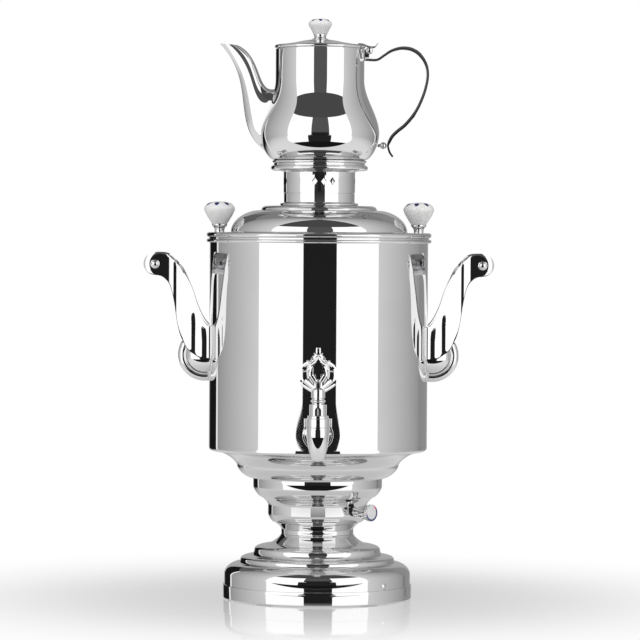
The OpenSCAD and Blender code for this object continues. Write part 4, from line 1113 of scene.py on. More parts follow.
@dataclass
class Lid:
    """Lid shell with its neck tube, and two porcelain knobs on metal ferrules."""

    edge_r: float = 120.8
    top_z: float = 402.45
    rim_h: float = 5.6
    dome_r: float = 97.0
    dome_w: float = 31.0
    dome_top: float = 426.75
    disc_z: float = 431.75
    neck_r: float = 38.9
    neck_top: float = 445.75
    inner_r: float = 118.3
    collar_low: float = 382.3
    sheet: float = 1.2
    knob_x: float = 109.5
    ferrule_h: float = 9.4
    china_h: float = 24.3
    china_r: float = 16.9

    def build(self) -> None:
        """Makes the lid's pieces."""
        low = self.top_z - self.rim_h - 1.75
        collar = [(self.inner_r - 1.2, self.collar_low), (self.inner_r, self.collar_low),
                  (self.inner_r, low), (self.edge_r + 0.2, low), (self.edge_r + 0.2, low + 2.4),
                  (self.inner_r, low + 2.4), (self.inner_r, self.top_z - 1.25),
                  (self.inner_r - 1.2, self.top_z - 1.25)]
        piece(joined(spun(walled(self.shell(), self.sheet)), spun(collar)), "lid_shell", MIRROR,
              Body.LID, ["lid_shell"], crease=50)
        r, z = self.neck_r, self.disc_z
        neck = ([(r - self.sheet, z), (r + 3, z)] + arc((r + 2.6, z + 1.5), 1.5, -85, 90, 12)
                + reach((r + 1.6, z + 3.0), (r, z + 4.6)) + [(r, self.neck_top - 0.3),
                (r - 0.3, self.neck_top), (r - self.sheet, self.neck_top)])
        piece(spun(neck), "lid_neck", MIRROR, Body.LID, ["lid_neck"])
        ferrules = []
        for side, name in ((-1, "left"), (1, "right")):
            ferrule = spun(tidy([(0, 0), (5.4, 0)]
                                + through([(5.4, 0.2), (5.3, 1.6), (5.6, 3.4), (6.3, 5.2),
                                           (7.4, 6.3), (8.2, 7.0)], 5)
                                + [(8.4, 7.3), (8.4, 9.0), (8.1, 9.35), (0, 9.35)]),
                           closed=False, steps=72)
            ferrules.append(moved(ferrule, at(side * self.knob_x, 0, self.top_z)))
            knob = china_knob(self.china_r, self.china_h, 8.5)
            glaze = porcelain(f"knob_porcelain_{name}", side * self.knob_x,
                              self.top_z + self.ferrule_h + self.china_h * 0.66, -12.0)
            piece(moved(knob, at(side * self.knob_x, 0, self.top_z + self.ferrule_h)),
                  f"lid_knob_{name}", glaze, Body.LID, ["lid_knobs"])
        piece(joined(*ferrules), "lid_ferrules", MIRROR, Body.LID, ["lid_ferrules"])

    def shell(self) -> Path:
        """Outer face of the lid, from its rolled rim inwards."""
        z, foot = self.top_z, self.dome_r
        shoulder = foot - self.dome_w
        return tidy(arc((self.edge_r, z - self.rim_h / 2), self.rim_h / 2, -90, 90, 20)
                    + reach((foot + 1.5, z), (foot, z + 1.5))
                    + rise((foot, z + 1.5), (shoulder, self.dome_top), 1.1)
                    + [(shoulder - 2.0, self.dome_top + 0.2)]
                    + reach((shoulder - 2.0, self.dome_top + 0.2),
                            (shoulder - 2.6, self.dome_top + 0.9))
                    + rise((shoulder - 2.6, self.dome_top + 0.9), (shoulder - 9, self.disc_z))
                    + [(self.neck_r - self.sheet, self.disc_z)])


def china_knob(r: float, h: float, foot: float) -> BMesh:
    """Porcelain knob with a conical flank, a rounded shoulder and a crowned top.

    Args:
        r: Its largest radius.
        h: Its height.
        foot: Radius of its foot.

    Returns:
        A new mesh that stands on the origin.
    """
    flank = through([(foot, 0), (r * 0.775, h * 0.30), (r * 0.94, h * 0.52), (r, h * 0.66),
                     (r * 0.97, h * 0.745), (r * 0.87, h * 0.845), (r * 0.72, h * 0.925),
                     (r * 0.50, h * 0.972), (r * 0.25, h * 0.995), (0, h)], 7)
    return spun(tidy([(0, 0)] + flank), closed=False, steps=96)


@dataclass
class Holder:
    """Ring that carries the teapot, with its diamond vents."""

    r: float = 39.3
    low: float = 446.05
    flange_z: float = 468.05
    flange_r: float = 53.3
    top: float = 478.65
    rest_r: float = 44.4
    bore: float = 37.2
    sheet: float = 1.2
    vent: Point = (6.3, 8.8)
    vent_pitch: float = 14.3
    vent_turn: float = 7.0

    def build(self) -> None:
        """Makes the holder."""
        r, z = self.flange_r, self.flange_z
        outline = tidy(
            [(self.bore - 1.2, self.low - 8.3), (self.bore, self.low - 8.3), (self.bore, self.low),
             (self.r, self.low), (self.r, z + 0.6)]
            + rise((self.r, z + 0.6), (r - 3.4, z + 2.4)) + arc((r - 2.8, z + 5.4), 2.8, -100, 92, 24)
            + [(r - 3.1, z + 8.4), (r - 3.1, self.top - 0.5), (r - 3.6, self.top),
               (self.rest_r, self.top), (self.rest_r, self.top - 4.6),
            (self.r - 1.2, self.top - 4.6), (self.r - 1.2, self.low + self.sheet),
            (self.bore - 1.2, self.low + self.sheet)])
        thing = piece(spun(outline), "pot_holder", MIRROR, Body.HOLDER, ["pot_holder"])
        self.cut_vents(thing)

    def cut_vents(self, thing: bpy.types.Object) -> None:
        """Cuts four groups of three diamond vents through the tube.

        Args:
            thing: The holder.
        """
        height = self.low + (self.flange_z - self.low) * 0.58
        cutter = bmesh.new()
        for group in range(4):
            for k in (-1, 0, 1):
                made = bmesh.ops.create_cone(
                    cutter, cap_ends=True, segments=4, radius1=1, radius2=1, depth=10 * MM,
                    matrix=Matrix.Identity(4))
                azimuth = self.vent_turn + 90 * group + k * self.vent_pitch
                shape = (facing(azimuth) @ at(self.r, 0, height) @ turned(90, "Y")
                         @ Matrix.Diagonal((self.vent[1] / 2 * MM, self.vent[0] / 2 * MM, 1, 1)))
                bmesh.ops.transform(cutter, matrix=shape, verts=made["verts"])
        carve(thing, close_up(cutter))


def carve(thing: bpy.types.Object, cutter: BMesh) -> None:
    """Takes a closed mesh out of a finished piece.

    Args:
        thing: The piece.
        cutter: What is taken out; it is freed.
    """
    data = bpy.data.meshes.new("cutter")
    cutter.to_mesh(data)
    cutter.free()
    tool = bpy.data.objects.new("cutter", data)
    bpy.context.scene.collection.objects.link(tool)
    cut = thing.modifiers.new("cut", "BOOLEAN")
    cut.operation = "DIFFERENCE"
    cut.solver = "EXACT"
    cut.object = tool
    graph = bpy.context.evaluated_depsgraph_get()
    made = bpy.data.meshes.new_from_object(thing.evaluated_get(graph))
    thing.modifiers.clear()
    old, thing.data = thing.data, made
    made.name = thing.name
    bpy.data.meshes.remove(old)
    bpy.data.objects.remove(tool)
    bpy.data.meshes.remove(data)


@dataclass
class Teapot:
    """Body of the teapot with its base ring."""

    floor_r: float = 50.0
    belly_r: float = 65.5
    neck_r: float = 48.7
    ring_z: float = 478.95
    z: float = 482.15
    belly_z: float = 510.65
    neck_z: float = 570.65
    rim_z: float = 603.5
    sheet: float = 1.0
    rest_r: float = 44.4

    def build(self) -> None:
        """Makes the teapot's body and its base ring."""
        path = self.path()
        outline = ([(0, self.z)] + path + [(self.neck_r - 0.5, self.rim_z + 0.1)]
                   + shifted(path, self.sheet)[::-1] + [(0, self.z + self.sheet)])
        piece(spun(outline, closed=False), "pot_body", MIRROR, Body.TEAPOT, ["pot_body"])
        r, z = self.rest_r, self.ring_z
        ring = [(r - 2.2, z - 3.8), (r - 0.9, z - 3.8), (r - 0.9, z), (self.floor_r + 0.8, z)]
        ring += arc((self.floor_r + 0.4, z + 1.4), 1.4, -80, 60, 12)
        ring += [(self.floor_r - 1, self.z - 0.05), (r - 2.2, self.z - 0.05)]
        piece(spun(ring), "pot_base_ring", MIRROR, Body.TEAPOT, ["pot_base_ring"])

    def path(self) -> Path:
        """Outer face of the body, from the floor up."""
        return tidy([(self.floor_r - 1.5, self.z)]
                    + reach((self.floor_r, self.z), (self.belly_r, self.belly_z), 1.2)
                    + sway((self.belly_r, self.belly_z), (self.neck_r, self.neck_z))
                    + [(self.neck_r, self.rim_z)])


@dataclass
class Dial:
    """Heat knob of the thermostat: washer, fluted knob and printed face."""

    azimuth: float = 46.0
    z: float = 98.3
    bowl_r: float = 54.5
    start: float = 57.1
    length: float = 25.0
    r: float = 9.1
    foot_r: float = 5.3
    face_r: float = 8.8
    flutes: int = 12

    def build(self) -> None:
        """Makes the knob's pieces."""
        washer = [(4.0, 0.1), (self.foot_r - 0.3, 0.1), (self.foot_r, 0.4), (self.foot_r, 1.9),
                  (self.foot_r - 0.4, 2.3), (4.0, 2.3)]
        piece(moved(spun(washer, steps=64), self.place(self.bowl_r)), "thermostat_washer",
              RUBBER, Body.SAMOVAR, ["thermostat_washer"])
        self.knob()
        r, top = self.face_r, self.length
        face = [(0, top - 0.8), (r, top - 0.8), (r, top - 0.15), (r - 0.2, top - 0.05),
                (0, top - 0.05)]
        piece(moved(spun(face, closed=False, steps=96), self.place(self.start)), "dial_face",
              ENAMEL, Body.DIAL, ["dial_face"])

    def place(self, distance: float) -> Matrix:
        """Puts +Z of a shape on the knob's axis, at a distance from the pedestal's axis."""
        return facing(self.azimuth) @ at(distance, 0, self.z) @ turned(90, "Y")

    def knob(self) -> None:
        """Makes the tapered knob and cuts its flutes."""
        a, b, h = self.foot_r, self.r, self.length
        outline = tidy([(0, 0), (a - 0.7, 0)] + reach((a - 0.7, 0), (a, 0.7)) + [(a, 2.6)]
                       + through([(a, 2.6), (a + 0.5, 4), (b - 1.0, h - 6.5), (b, h - 3.6)], 6)
                       + [(b, h - 0.5)] + rise((b, h - 0.5), (self.face_r + 0.15, h))
                       + [(self.face_r + 0.05, h - 0.8), (0, h - 0.8)])
        thing = piece(moved(spun(outline, closed=False, steps=120), self.place(self.start)),
                      "dial_knob", MIRROR, Body.DIAL, ["dial_knob"])
        cutter = bmesh.new()
        for k in range(self.flutes):
            made = bmesh.ops.create_uvsphere(cutter, u_segments=20, v_segments=16, radius=MM)
            shape = (self.place(self.start) @ turned(360 * k / self.flutes, "Z")
                     @ at(a + 1.9, 0, h * 0.42) @ turned(8.5, "Y")
                     @ Matrix.Diagonal((1.5, 1.05, h * 0.31, 1)))
            bmesh.ops.transform(cutter, matrix=shape, verts=made["verts"])
        carve(thing, close_up(cutter))


@dataclass
class Tap:
    """Tap: rosette, body with its lugs, slotted bonnet, spindle and openwork key."""

    y: float = -158.0
    wall_r: float = 120.0
    shank_z: float = 186.3
    shank_r: float = 8.0
    rosette_r: float = 16.6
    seam_z: float = 196.5
    spigot_r: float = 12.3
    spigot_h: float = 35.7
    tip_r: float = 6.1
    water_r: float = 4.0
    collar_top: float = 206.5
    bonnet_r: float = 9.1
    bonnet_top: float = 221.2
    slot_w: float = 6.6
    stem_r: float = 3.2
    hub_r: float = 7.3
    hub_z: float = 228.25
    key_z: float = 238.25
    key_t: float = 4.4

    def build(self) -> None:
        """Makes the tap's pieces."""
        self.body()
        self.rosette()
        self.bonnet()
        spindle = [(0, self.shank_z - 6), (6.8, self.shank_z - 6), (7.8, self.collar_top - 0.6),
                   (self.stem_r, self.collar_top - 0.6), (self.stem_r, self.bonnet_top),
                   (0, self.bonnet_top)]
        piece(moved(spun(spindle, closed=False, steps=64), at(0, self.y, 0)), "tap_plug",
              SPINDLE, Body.TAP, ["tap_plug"])
        piece(moved(joined(self.hub(), self.openwork()), at(0, self.y, 0)), "tap_key", MIRROR,
              Body.TAP, ["tap_key"], crease=28)

    def body(self) -> None:
        """Makes the upright cone with its collar and lugs, and the shank."""
        low, seam, top, r = self.seam_z - self.spigot_h, self.seam_z, self.collar_top, self.spigot_r
        flank = [(self.tip_r + (r - self.tip_r) * math.sin(math.pi / 2 * t ** 0.85),
                  low + self.spigot_h * t) for t in (i / 30 for i in range(1, 31))]
        outline = tidy([(0, low + 15), (self.water_r, low + 15), (self.water_r, low + 0.5),
                        (self.water_r + 0.5, low), (self.tip_r - 0.3, low)] + flank
                       + [(r - 0.4, seam + 0.35), (r + 0.1, seam + 0.7), (r + 0.1, top - 0.8)]
                       + rise((r + 0.1, top - 0.8), (r - 0.9, top)) + [(0, top)])
        cone = moved(spun(outline, closed=False, steps=120), at(0, self.y, 0))
        lugs = []
        for side in (-1, 1):
            bead = spun([(0, seam + 0.4)] + rise((1.5, seam + 1.0), (1.1, seam + 0.4))[::-1]
                        + rise((1.5, top - 0.8), (1.1, top - 0.2)) + [(0, top - 0.2)],
                        closed=False, steps=40)
            lugs += [moved(bead, at(side * 13.4, self.y, 0)),
                     block((min(side * 11, side * 13), self.y - 0.8, seam + 0.9),
                           (max(side * 11, side * 13), self.y + 0.8, top - 0.6), 0.2)]
        a = self.shank_r
        shank = spun([(0, 0), (a, 0), (a, 25.8), (a + 1.4, 25.8), (a + 1.4, 28)]
                     + through([(a + 1.4, 28), (a, 36), (a - 0.6, 52)], 6) + [(0, 52)],
                     closed=False, steps=72)
        moved(shank, facing(0) @ at(self.wall_r - 22, 0, self.shank_z) @ turned(90, "Y"))
        piece(joined(cone, shank, *lugs), "tap_body", MIRROR, Body.SAMOVAR, ["tap_body"])

    def rosette(self) -> None:
        """Makes the stepped disc between the tank and the shank."""
        r = self.rosette_r
        outline = [(self.shank_r, -1.4), (r, -1.4), (r, 1.0), (r - 0.6, 1.8), (r - 1.9, 2.0),
                   (r - 2.4, 2.9), (r - 4.2, 3.2), (r - 4.7, 4.0), (r - 6.8, 4.4),
                   (self.shank_r, 4.6)]
        disc = moved(spun(outline, steps=96), facing(0) @ at(self.wall_r, 0, self.shank_z)
                     @ turned(90, "Y"))
        piece(disc, "tap_rosette", MIRROR, Body.SAMOVAR, ["tap_rosette"])

    def bonnet(self) -> None:
        """Makes the flanged collar with the arched slot in its front."""
        r, low, top = self.bonnet_r, self.collar_top, self.bonnet_top
        outline = [(self.stem_r + 0.3, top - 2), (self.stem_r + 0.3, top), (r - 1.0, top),
                   (r - 0.3, top - 0.3), (r, top - 1.0), (r, low + 2.7), (r + 1.5, low + 2.7),
                   (r + 1.9, low + 2.3), (r + 1.9, low), (r - 1.6, low), (r - 1.6, top - 2)]
        thing = piece(moved(spun(outline, steps=96), at(0, self.y, 0)), "tap_bonnet", MIRROR,
                      Body.SAMOVAR, ["tap_bonnet"])
        half = self.slot_w / 2
        cutter = slab([(-half, low + 2.75)] + arc((0, low + 8.5), half, 180, 0, 16)
                      + [(half, low + 2.75)], 8)
        carve(thing, moved(cutter, at(0, self.y - 8, 0)))

    def hub(self) -> BMesh:
        """Beaded stem and hub of the key, about the origin."""
        z, r = self.bonnet_top + 0.05, self.hub_r
        return spun(tidy([(0, z), (6.3, z), (6.3, z + 1.2)] + arc((6.1, z + 3.2), 1.6, -80, 80, 12)
                         + [(6.4, z + 5.4), (6.4, self.hub_z - 0.8), (r, self.hub_z - 0.2),
                            (r, self.key_z - 1.6), (r - 0.7, self.key_z - 0.9),
                            (0, self.key_z - 0.6)]), closed=False, steps=72)

    def stroke(self, points: Sequence[Point], width: float, depth: float = 1.0,
               tip: float = 1.0, heel: float = 1.0) -> BMesh:
        """Ridged bar of the openwork and its mirror image.

        Args:
            points: Places it runs through, as (x, height above the hub).
            width: Its width.
            depth: Its thickness as a share of the key's.
            tip: Share of the width that is left at its far end.
            heel: Share of the width that is left at its near end.

        Returns:
            A new mesh.
        """
        path = [(x, z + self.key_z) for x, z in through(points, 6)]
        last = len(path) - 1
        sizes = [(1.0, 1 - (1 - tip) * smooth(0.6, 1, i / last)
                  - (1 - heel) * smooth(0.6, 1, 1 - i / last)) for i in range(last + 1)]
        half = self.key_t / 2 * depth
        bars = [swept(path, roof(width / 2, half, min(width * 0.2, half / 2)), sizes)
                for _ in range(2)]
        return joined(bars[0], moved(bars[1], mirrored((1, 0, 0))))

    def openwork(self) -> BMesh:
        """Pierced leaf pattern of the key, about the origin."""
        knobs = [ball(side * x, 0, self.key_z + z, r) for side in (-1, 1)
                 for x, z, r in ((3.7, 36.4, 1.2), (5.3, 33.4, 1.1), (11.3, 28.4, 1.4))]
        web = block((-1.9, -1.3, self.key_z - 1), (1.9, 1.3, self.key_z + 6.4), 0.4)
        return joined(
            web, *knobs,
            self.stroke([(0.3, 35.6), (2.4, 33.6), (4.6, 30.6)], 4.2, heel=0.6, tip=0.5),
            self.stroke([(0.2, 33.0), (2.6, 31.0), (5.4, 29.6)], 3.0, tip=0.5),
            self.stroke([(10.4, 26.6), (12.9, 25.4), (15.8, 23.0), (17.7, 19.4), (18.5, 14.2),
                         (18.0, 9.8), (16.6, 6.8)], 3.7),
            self.stroke([(8.2, 21.6), (11.6, 19.0), (16.4, 18.0)], 2.0),
            self.stroke([(4.4, -0.6), (9.6, 3.7), (14.5, 7.8)], 4.3),
            self.stroke([(6.2, -3.4), (12.6, 0.4), (18.2, 4.3)], 2.7, tip=0.8),
            self.stroke([(0.2, 31.0), (2.6, 28.2), (5.6, 26.0), (8.0, 23.0), (8.2, 19.4),
                         (9.0, 15.6), (8.4, 12.4), (5.9, 8.3), (3.7, 5.0), (3.2, 0.6)], 1.7),
            self.stroke([(6.5, 16.2), (5.2, 12.8), (3.2, 9.2), (1.4, 7.2)], 1.7, heel=0.2),
            self.stroke([(7.6, 25.6), (8.3, 22.8), (8.1, 18.8)], 3.1, tip=0.3, heel=0.5),
            self.stroke([(3.2, 30.8), (5.6, 29.2), (8.6, 28.0)], 1.8, tip=0.4),
            self.stroke([(10.9, 25.4), (11.3, 27.6)], 1.8),
            self.stroke([(0.1, 42.6), (1.5, 42.5), (1.8, 41.6), (1.7, 38.6), (1.9, 36.9)], 1.3))


@dataclass
class Handle:
    """Carrying handle: two ribbon plates, a grip with cap nuts and a foot on the tank."""

    side: int
    wall_r: float = 120.0
    grip: Point = (178.4, 367.6)
    grip_r: float = 12.0
    end_r: float = 12.6
    drop: float = 1.7
    plate_t: float = 3.0
    root_y: float = 31.0
    lower: tuple[Point, ...] = (
        (115, 262.6), (121.4, 263.0), (126, 263.9), (131.1, 265.9), (135.6, 269.0),
        (140, 272.0), (143.6, 275.6), (146.8, 282), (150.6, 290.5), (153, 299.8),
        (154.8, 309.6), (157.4, 326.7), (158.9, 334.9), (161, 343), (163.4, 348.6),
        (166.4, 352.2), (169.8, 355), (173.5, 356.6), (178, 357.0))
    upper: tuple[Point, ...] = (
        (115, 299.8), (118.5, 300.3), (122.6, 302.6), (128.5, 310.9), (134.4, 323.9),
        (139.2, 338.1), (146.3, 354.6), (150.8, 364), (155.6, 370), (163.4, 378.2),
        (169.3, 381.2), (178, 381.8))
    leans: tuple[Point, ...] = (
        (115, 0.24), (137.0, 0.24), (140.0, 0.30), (154.8, 0.30), (156.0, 0.0), (156.8, 0.0),
        (158.0, 0.24), (165.6, 0.20), (167.0, 0.0), (192, 0.0))
    keel: Point = (124.9, 268.1)
    keel_r: float = 29.0
    keel_t: float = 10.6
    keel_w: float = 16.0
    moulding_r: float = 19.0
    moulding_w: float = 27.0

    def build(self) -> None:
        """Makes the handle's pieces."""
        name = "left" if self.side < 0 else "right"
        for place, end in (("front", -1), ("rear", 1)):
            self.place(self.plate(end), f"{name}_{place}_plate", MIRROR, True)
        self.place(self.rod(), f"{name}_grip", SATIN)
        self.place(self.nuts(), f"{name}_cap_nuts", MIRROR)
        node = f"{name}_handle_foot"
        self.place(self.keel_band(), f"{name}_handle_keel", MIRROR, True, node)
        self.place(self.moulding(), f"{name}_handle_moulding", MIRROR, True, node)
        self.place(self.pads(), f"{name}_handle_pads", MIRROR, True, node)

    def place(self, mesh: BMesh, name: str, finish: Finish, cut: bool = False,
              node: str | None = None) -> None:
        """Puts a shape drawn on the right on this handle's side.

        Args:
            mesh: The shape; it is freed.
            name: Name of the piece.
            finish: Its finish.
            cut: True to take the tank's round out of it.
            node: Node that it is part of, where its name differs.
        """
        if self.side < 0:
            moved(mesh, mirrored((1, 0, 0)))
        thing = piece(mesh, name, finish, Body.SAMOVAR, [node or name], crease=32)
        if cut:
            tank = bmesh.new()
            bmesh.ops.create_cone(tank, cap_ends=True, segments=TURN_STEPS, depth=0.3,
                                  radius1=(self.wall_r - 0.3) * MM,
                                  radius2=(self.wall_r - 0.3) * MM, matrix=at(0, 0, 310))
            carve(thing, tank)

    def plate_y(self, x: float, z: float) -> float:
        """Distance of a plate's outer face from the middle, which bends the reflections.

        Args:
            x: Reach from the tank's axis.
            z: Height.

        Returns:
            The distance in millimetres.
        """
        y, step, u = self.root_y, 0.5, 119.0
        wedge, band = 1 - smooth(284, 302, z), 1 - smooth(300, 318, z)
        while u < x:
            flat = wedge * (smooth(122, 123, u) * (1 - smooth(126, 127, u))
                            - 0.6 * smooth(127.4, 128.4, u) * (1 - smooth(133, 134, u)))
            flat += band * (smooth(134.2, 135.2, u) * (1 - smooth(137.6, 138.6, u))
                            - 0.4 * smooth(139, 140, u) * (1 - smooth(146.5, 147.5, u)))
            y += at_x(self.leans, u + step / 2) * (1 - flat) * min(step, x - u)
            u += step
        rim = math.dist((x, z), (172.4, self.grip[1])) - 12.4
        return y - (0.22 * max(rim, 0.0) + 0.5 * max(rim - 3.6, 0)) * smooth(172, 176, x)

    def plate(self, end: int) -> BMesh:
        """One plate, drawn on the right.

        Args:
            end: -1 for the front plate and 1 for the rear one.

        Returns:
            A new mesh.
        """
        columns = [115 + (self.grip[0] - 115) * i / 70 for i in range(71)]
        columns += [self.grip[0] + self.end_r * math.sin(math.radians(a)) for a in range(6, 91, 6)]
        lower, upper = through(self.lower, 6), through(self.upper, 6)
        rows = []
        for curve, sign in ((lower, -1), (upper, 1)):
            row = []
            for x in columns:
                over = max(x - self.grip[0], 0) / self.end_r
                z = at_x(curve, min(x, self.grip[0])) - self.drop * smooth(140, 165, x)
                z = self.grip[1] + (z - self.grip[1]) * math.sqrt(max(1 - over * over, 0))
                row.append((x, 0, z))
            rows.append(row)
        mesh = bmesh.new()
        low, high = chain(mesh, rows[0], False)[1], chain(mesh, rows[1], False)[1]
        made = bmesh.ops.bridge_loops(mesh, edges=low + high)
        bmesh.ops.subdivide_edges(mesh, edges=made["edges"], cuts=15, use_grid_fill=True)
        for vert in mesh.verts:
            vert.co.y = -self.plate_y(vert.co.x / MM, vert.co.z / MM) * MM
        close_up(mesh)
        made = bmesh.ops.extrude_face_region(mesh, geom=mesh.faces[:])
        bmesh.ops.translate(mesh, vec=(0, self.plate_t * MM, 0), verts=[
            v for v in made["geom"] if isinstance(v, bmesh.types.BMVert)])
        bmesh.ops.recalc_face_normals(mesh, faces=mesh.faces[:])
        rim = [e for e in mesh.edges if len(e.link_faces) == 2 and e.calc_face_angle() > 1.0]
        bmesh.ops.bevel(mesh, geom=rim, offset=0.5 * MM, segments=2, profile=0.5,
                        affect="EDGES", material=-1, clamp_overlap=True)
        if end > 0:
            moved(mesh, mirrored((0, 1, 0)))
        return mesh

    def rod(self) -> BMesh:
        """The turned grip between the plates, drawn on the right."""
        r, half = self.grip_r, self.plate_y(self.grip[0], self.grip[1]) - self.plate_t - 0.1
        outline = [(0, -half), (r - 1.2, -half)] + reach((r - 1.2, -half), (r, 1.2 - half))
        for y in (-half * 0.72, -half * 0.64, half * 0.64, half * 0.72):
            outline += [(r, y - 0.9), (r - 0.6, y - 0.3), (r - 0.6, y + 0.3), (r, y + 0.9)]
        outline += rise((r, half - 1.2), (r - 1.2, half)) + [(0, half)]
        return moved(spun(tidy(outline), closed=False, steps=96),
                     at(self.grip[0], 0, self.grip[1]) @ turned(90, "X"))

    def nuts(self) -> BMesh:
        """The domed cap nuts on both ends of the grip, drawn on the right."""
        outline = tidy([(0, -0.1), (5.0, -0.1), (5.0, 0.5), (4.5, 0.8)]
                       + quarter((4.5, 0.8), (0, 4.3), (0, 0.8), 0.9))
        out = self.plate_y(self.grip[0], self.grip[1])
        both = []
        for end in (-1, 1):
            nut = spun(outline, closed=False, steps=64)
            both.append(moved(nut, at(self.grip[0], end * out, self.grip[1])
                              @ turned(-90 * end, "X")))
        return joined(*both)

    def keel_band(self) -> BMesh:
        """The rounded band under the moulding, drawn on the right."""
        path = arc(self.keel, self.keel_r - self.keel_t / 2, -112, 36, 44)
        last = len(path) - 1
        sizes = [(s, s) for s in (math.sqrt(1 - smooth(0.93, 1.02, i / last) ** 2)
                                  for i in range(last + 1))]
        return swept(path, stadium(self.keel_w, self.keel_t / 2), sizes)

    def moulding(self) -> BMesh:
        """The drum between the plates, drawn on the right."""
        r, w = self.moulding_r, self.moulding_w
        outline = tidy(reach((0, -w - 1), (r, 8 - w)) + rise((r, w - 8), (0, w + 1)))
        return moved(spun(outline, closed=False, steps=96),
                     at(self.keel[0], 0, self.keel[1]) @ turned(90, "X"))

    def pads(self) -> BMesh:
        """The pads against the tank, drawn on the right."""
        z, w = self.keel[1], self.moulding_w
        pads = []
        for y, low, high in ((self.root_y + 0.4, z - 5.6, z + 31.6), (w + 0.2, z - 18, z - 5.6),
                             (self.keel_w + 0.2, z - 28.6, z - 18)):
            reach_x = math.sqrt(self.wall_r ** 2 - y * y)
            for end in (-1, 1):
                pad = block((-3, -2.5, low), (0.6, 2.5, high), 0.3)
                moved(pad, at(reach_x + 1.4, -y, 0) @ facing(50))
                pads.append(pad if end < 0 else moved(pad, mirrored((0, 1, 0))))
        return joined(*pads)


def at_x(curve: Sequence[Sequence[float]], x: float) -> float:
    """Value of a curve that runs to the right, at x."""
    for (a, p), (b, q) in zip(curve, curve[1:]):
        if x <= b:
            return p + (q - p) * max(x - a, 0) / (b - a)
    return curve[-1][1]


@dataclass
class Spout:
    """Swan-neck spout of the teapot."""

    low: tuple[Point, ...] = ((-55.2, 489.0), (-101.4, 516.3), (-67.1, 564.3), (-109.9, 609.4))
    top: tuple[Point, ...] = ((-49.4, 560.0), (-69.9, 554.5), (-63.2, 596.4), (-90.7, 607.7))
    root_w: float = 17.0
    mouth_w: float = 7.0
    sheet: float = 1.0
    widest: float = 0.18
    sides: int = 48
    rings: int = 40

    def ring(self, t: float, grow: float, shift: float = 0.0) -> list[Vector]:
        """One ring of the spout.

        Args:
            t: Place along the spout, from 0 at the root to 1 at the mouth.
            grow: What is added to its half sizes, in millimetres.
            shift: How far it is moved to the right.

        Returns:
            The ring's points in metres.
        """
        a, b = bezier(self.low, t), bezier(self.top, t)
        mid = ((a[0] + b[0]) / 2 + shift, (a[1] + b[1]) / 2)
        size = math.dist(a, b) / 2
        up = ((b[0] - a[0]) / 2 * (size + grow) / size, (b[1] - a[1]) / 2 * (size + grow) / size)
        width = self.mouth_w + (self.root_w - self.mouth_w) * (1 - t) ** 1.6 + grow
        out = []
        for k in range(self.sides):
            s = math.tau * k / self.sides
            lift = math.sin(s) + self.widest * math.cos(s) ** 2
            out.append(Vector((mid[0] + up[0] * lift, width * math.cos(s),
                               mid[1] + up[1] * lift)) * MM)
        return out

    def build(self) -> None:
        """Makes the spout with its open mouth, and fits it to the body."""
        steps = [i / self.rings for i in range(self.rings + 1)]
        rings = [self.ring(0, 0, 16)] + [self.ring(t, 0) for t in steps]
        rings += [self.ring(t, -self.sheet) for t in reversed(steps) if t > 0.3]
        thing = piece(tube(rings), "pot_spout", MIRROR, Body.TEAPOT, ["pot_spout"])
        pot = Teapot()
        carve(thing, spun([(0, pot.z - 1), (pot.floor_r - 2, pot.z - 1)]
                          + [(r - 0.4, z) for r, z in pot.path()] + [(0, pot.rim_z)],
                          closed=False, steps=120))


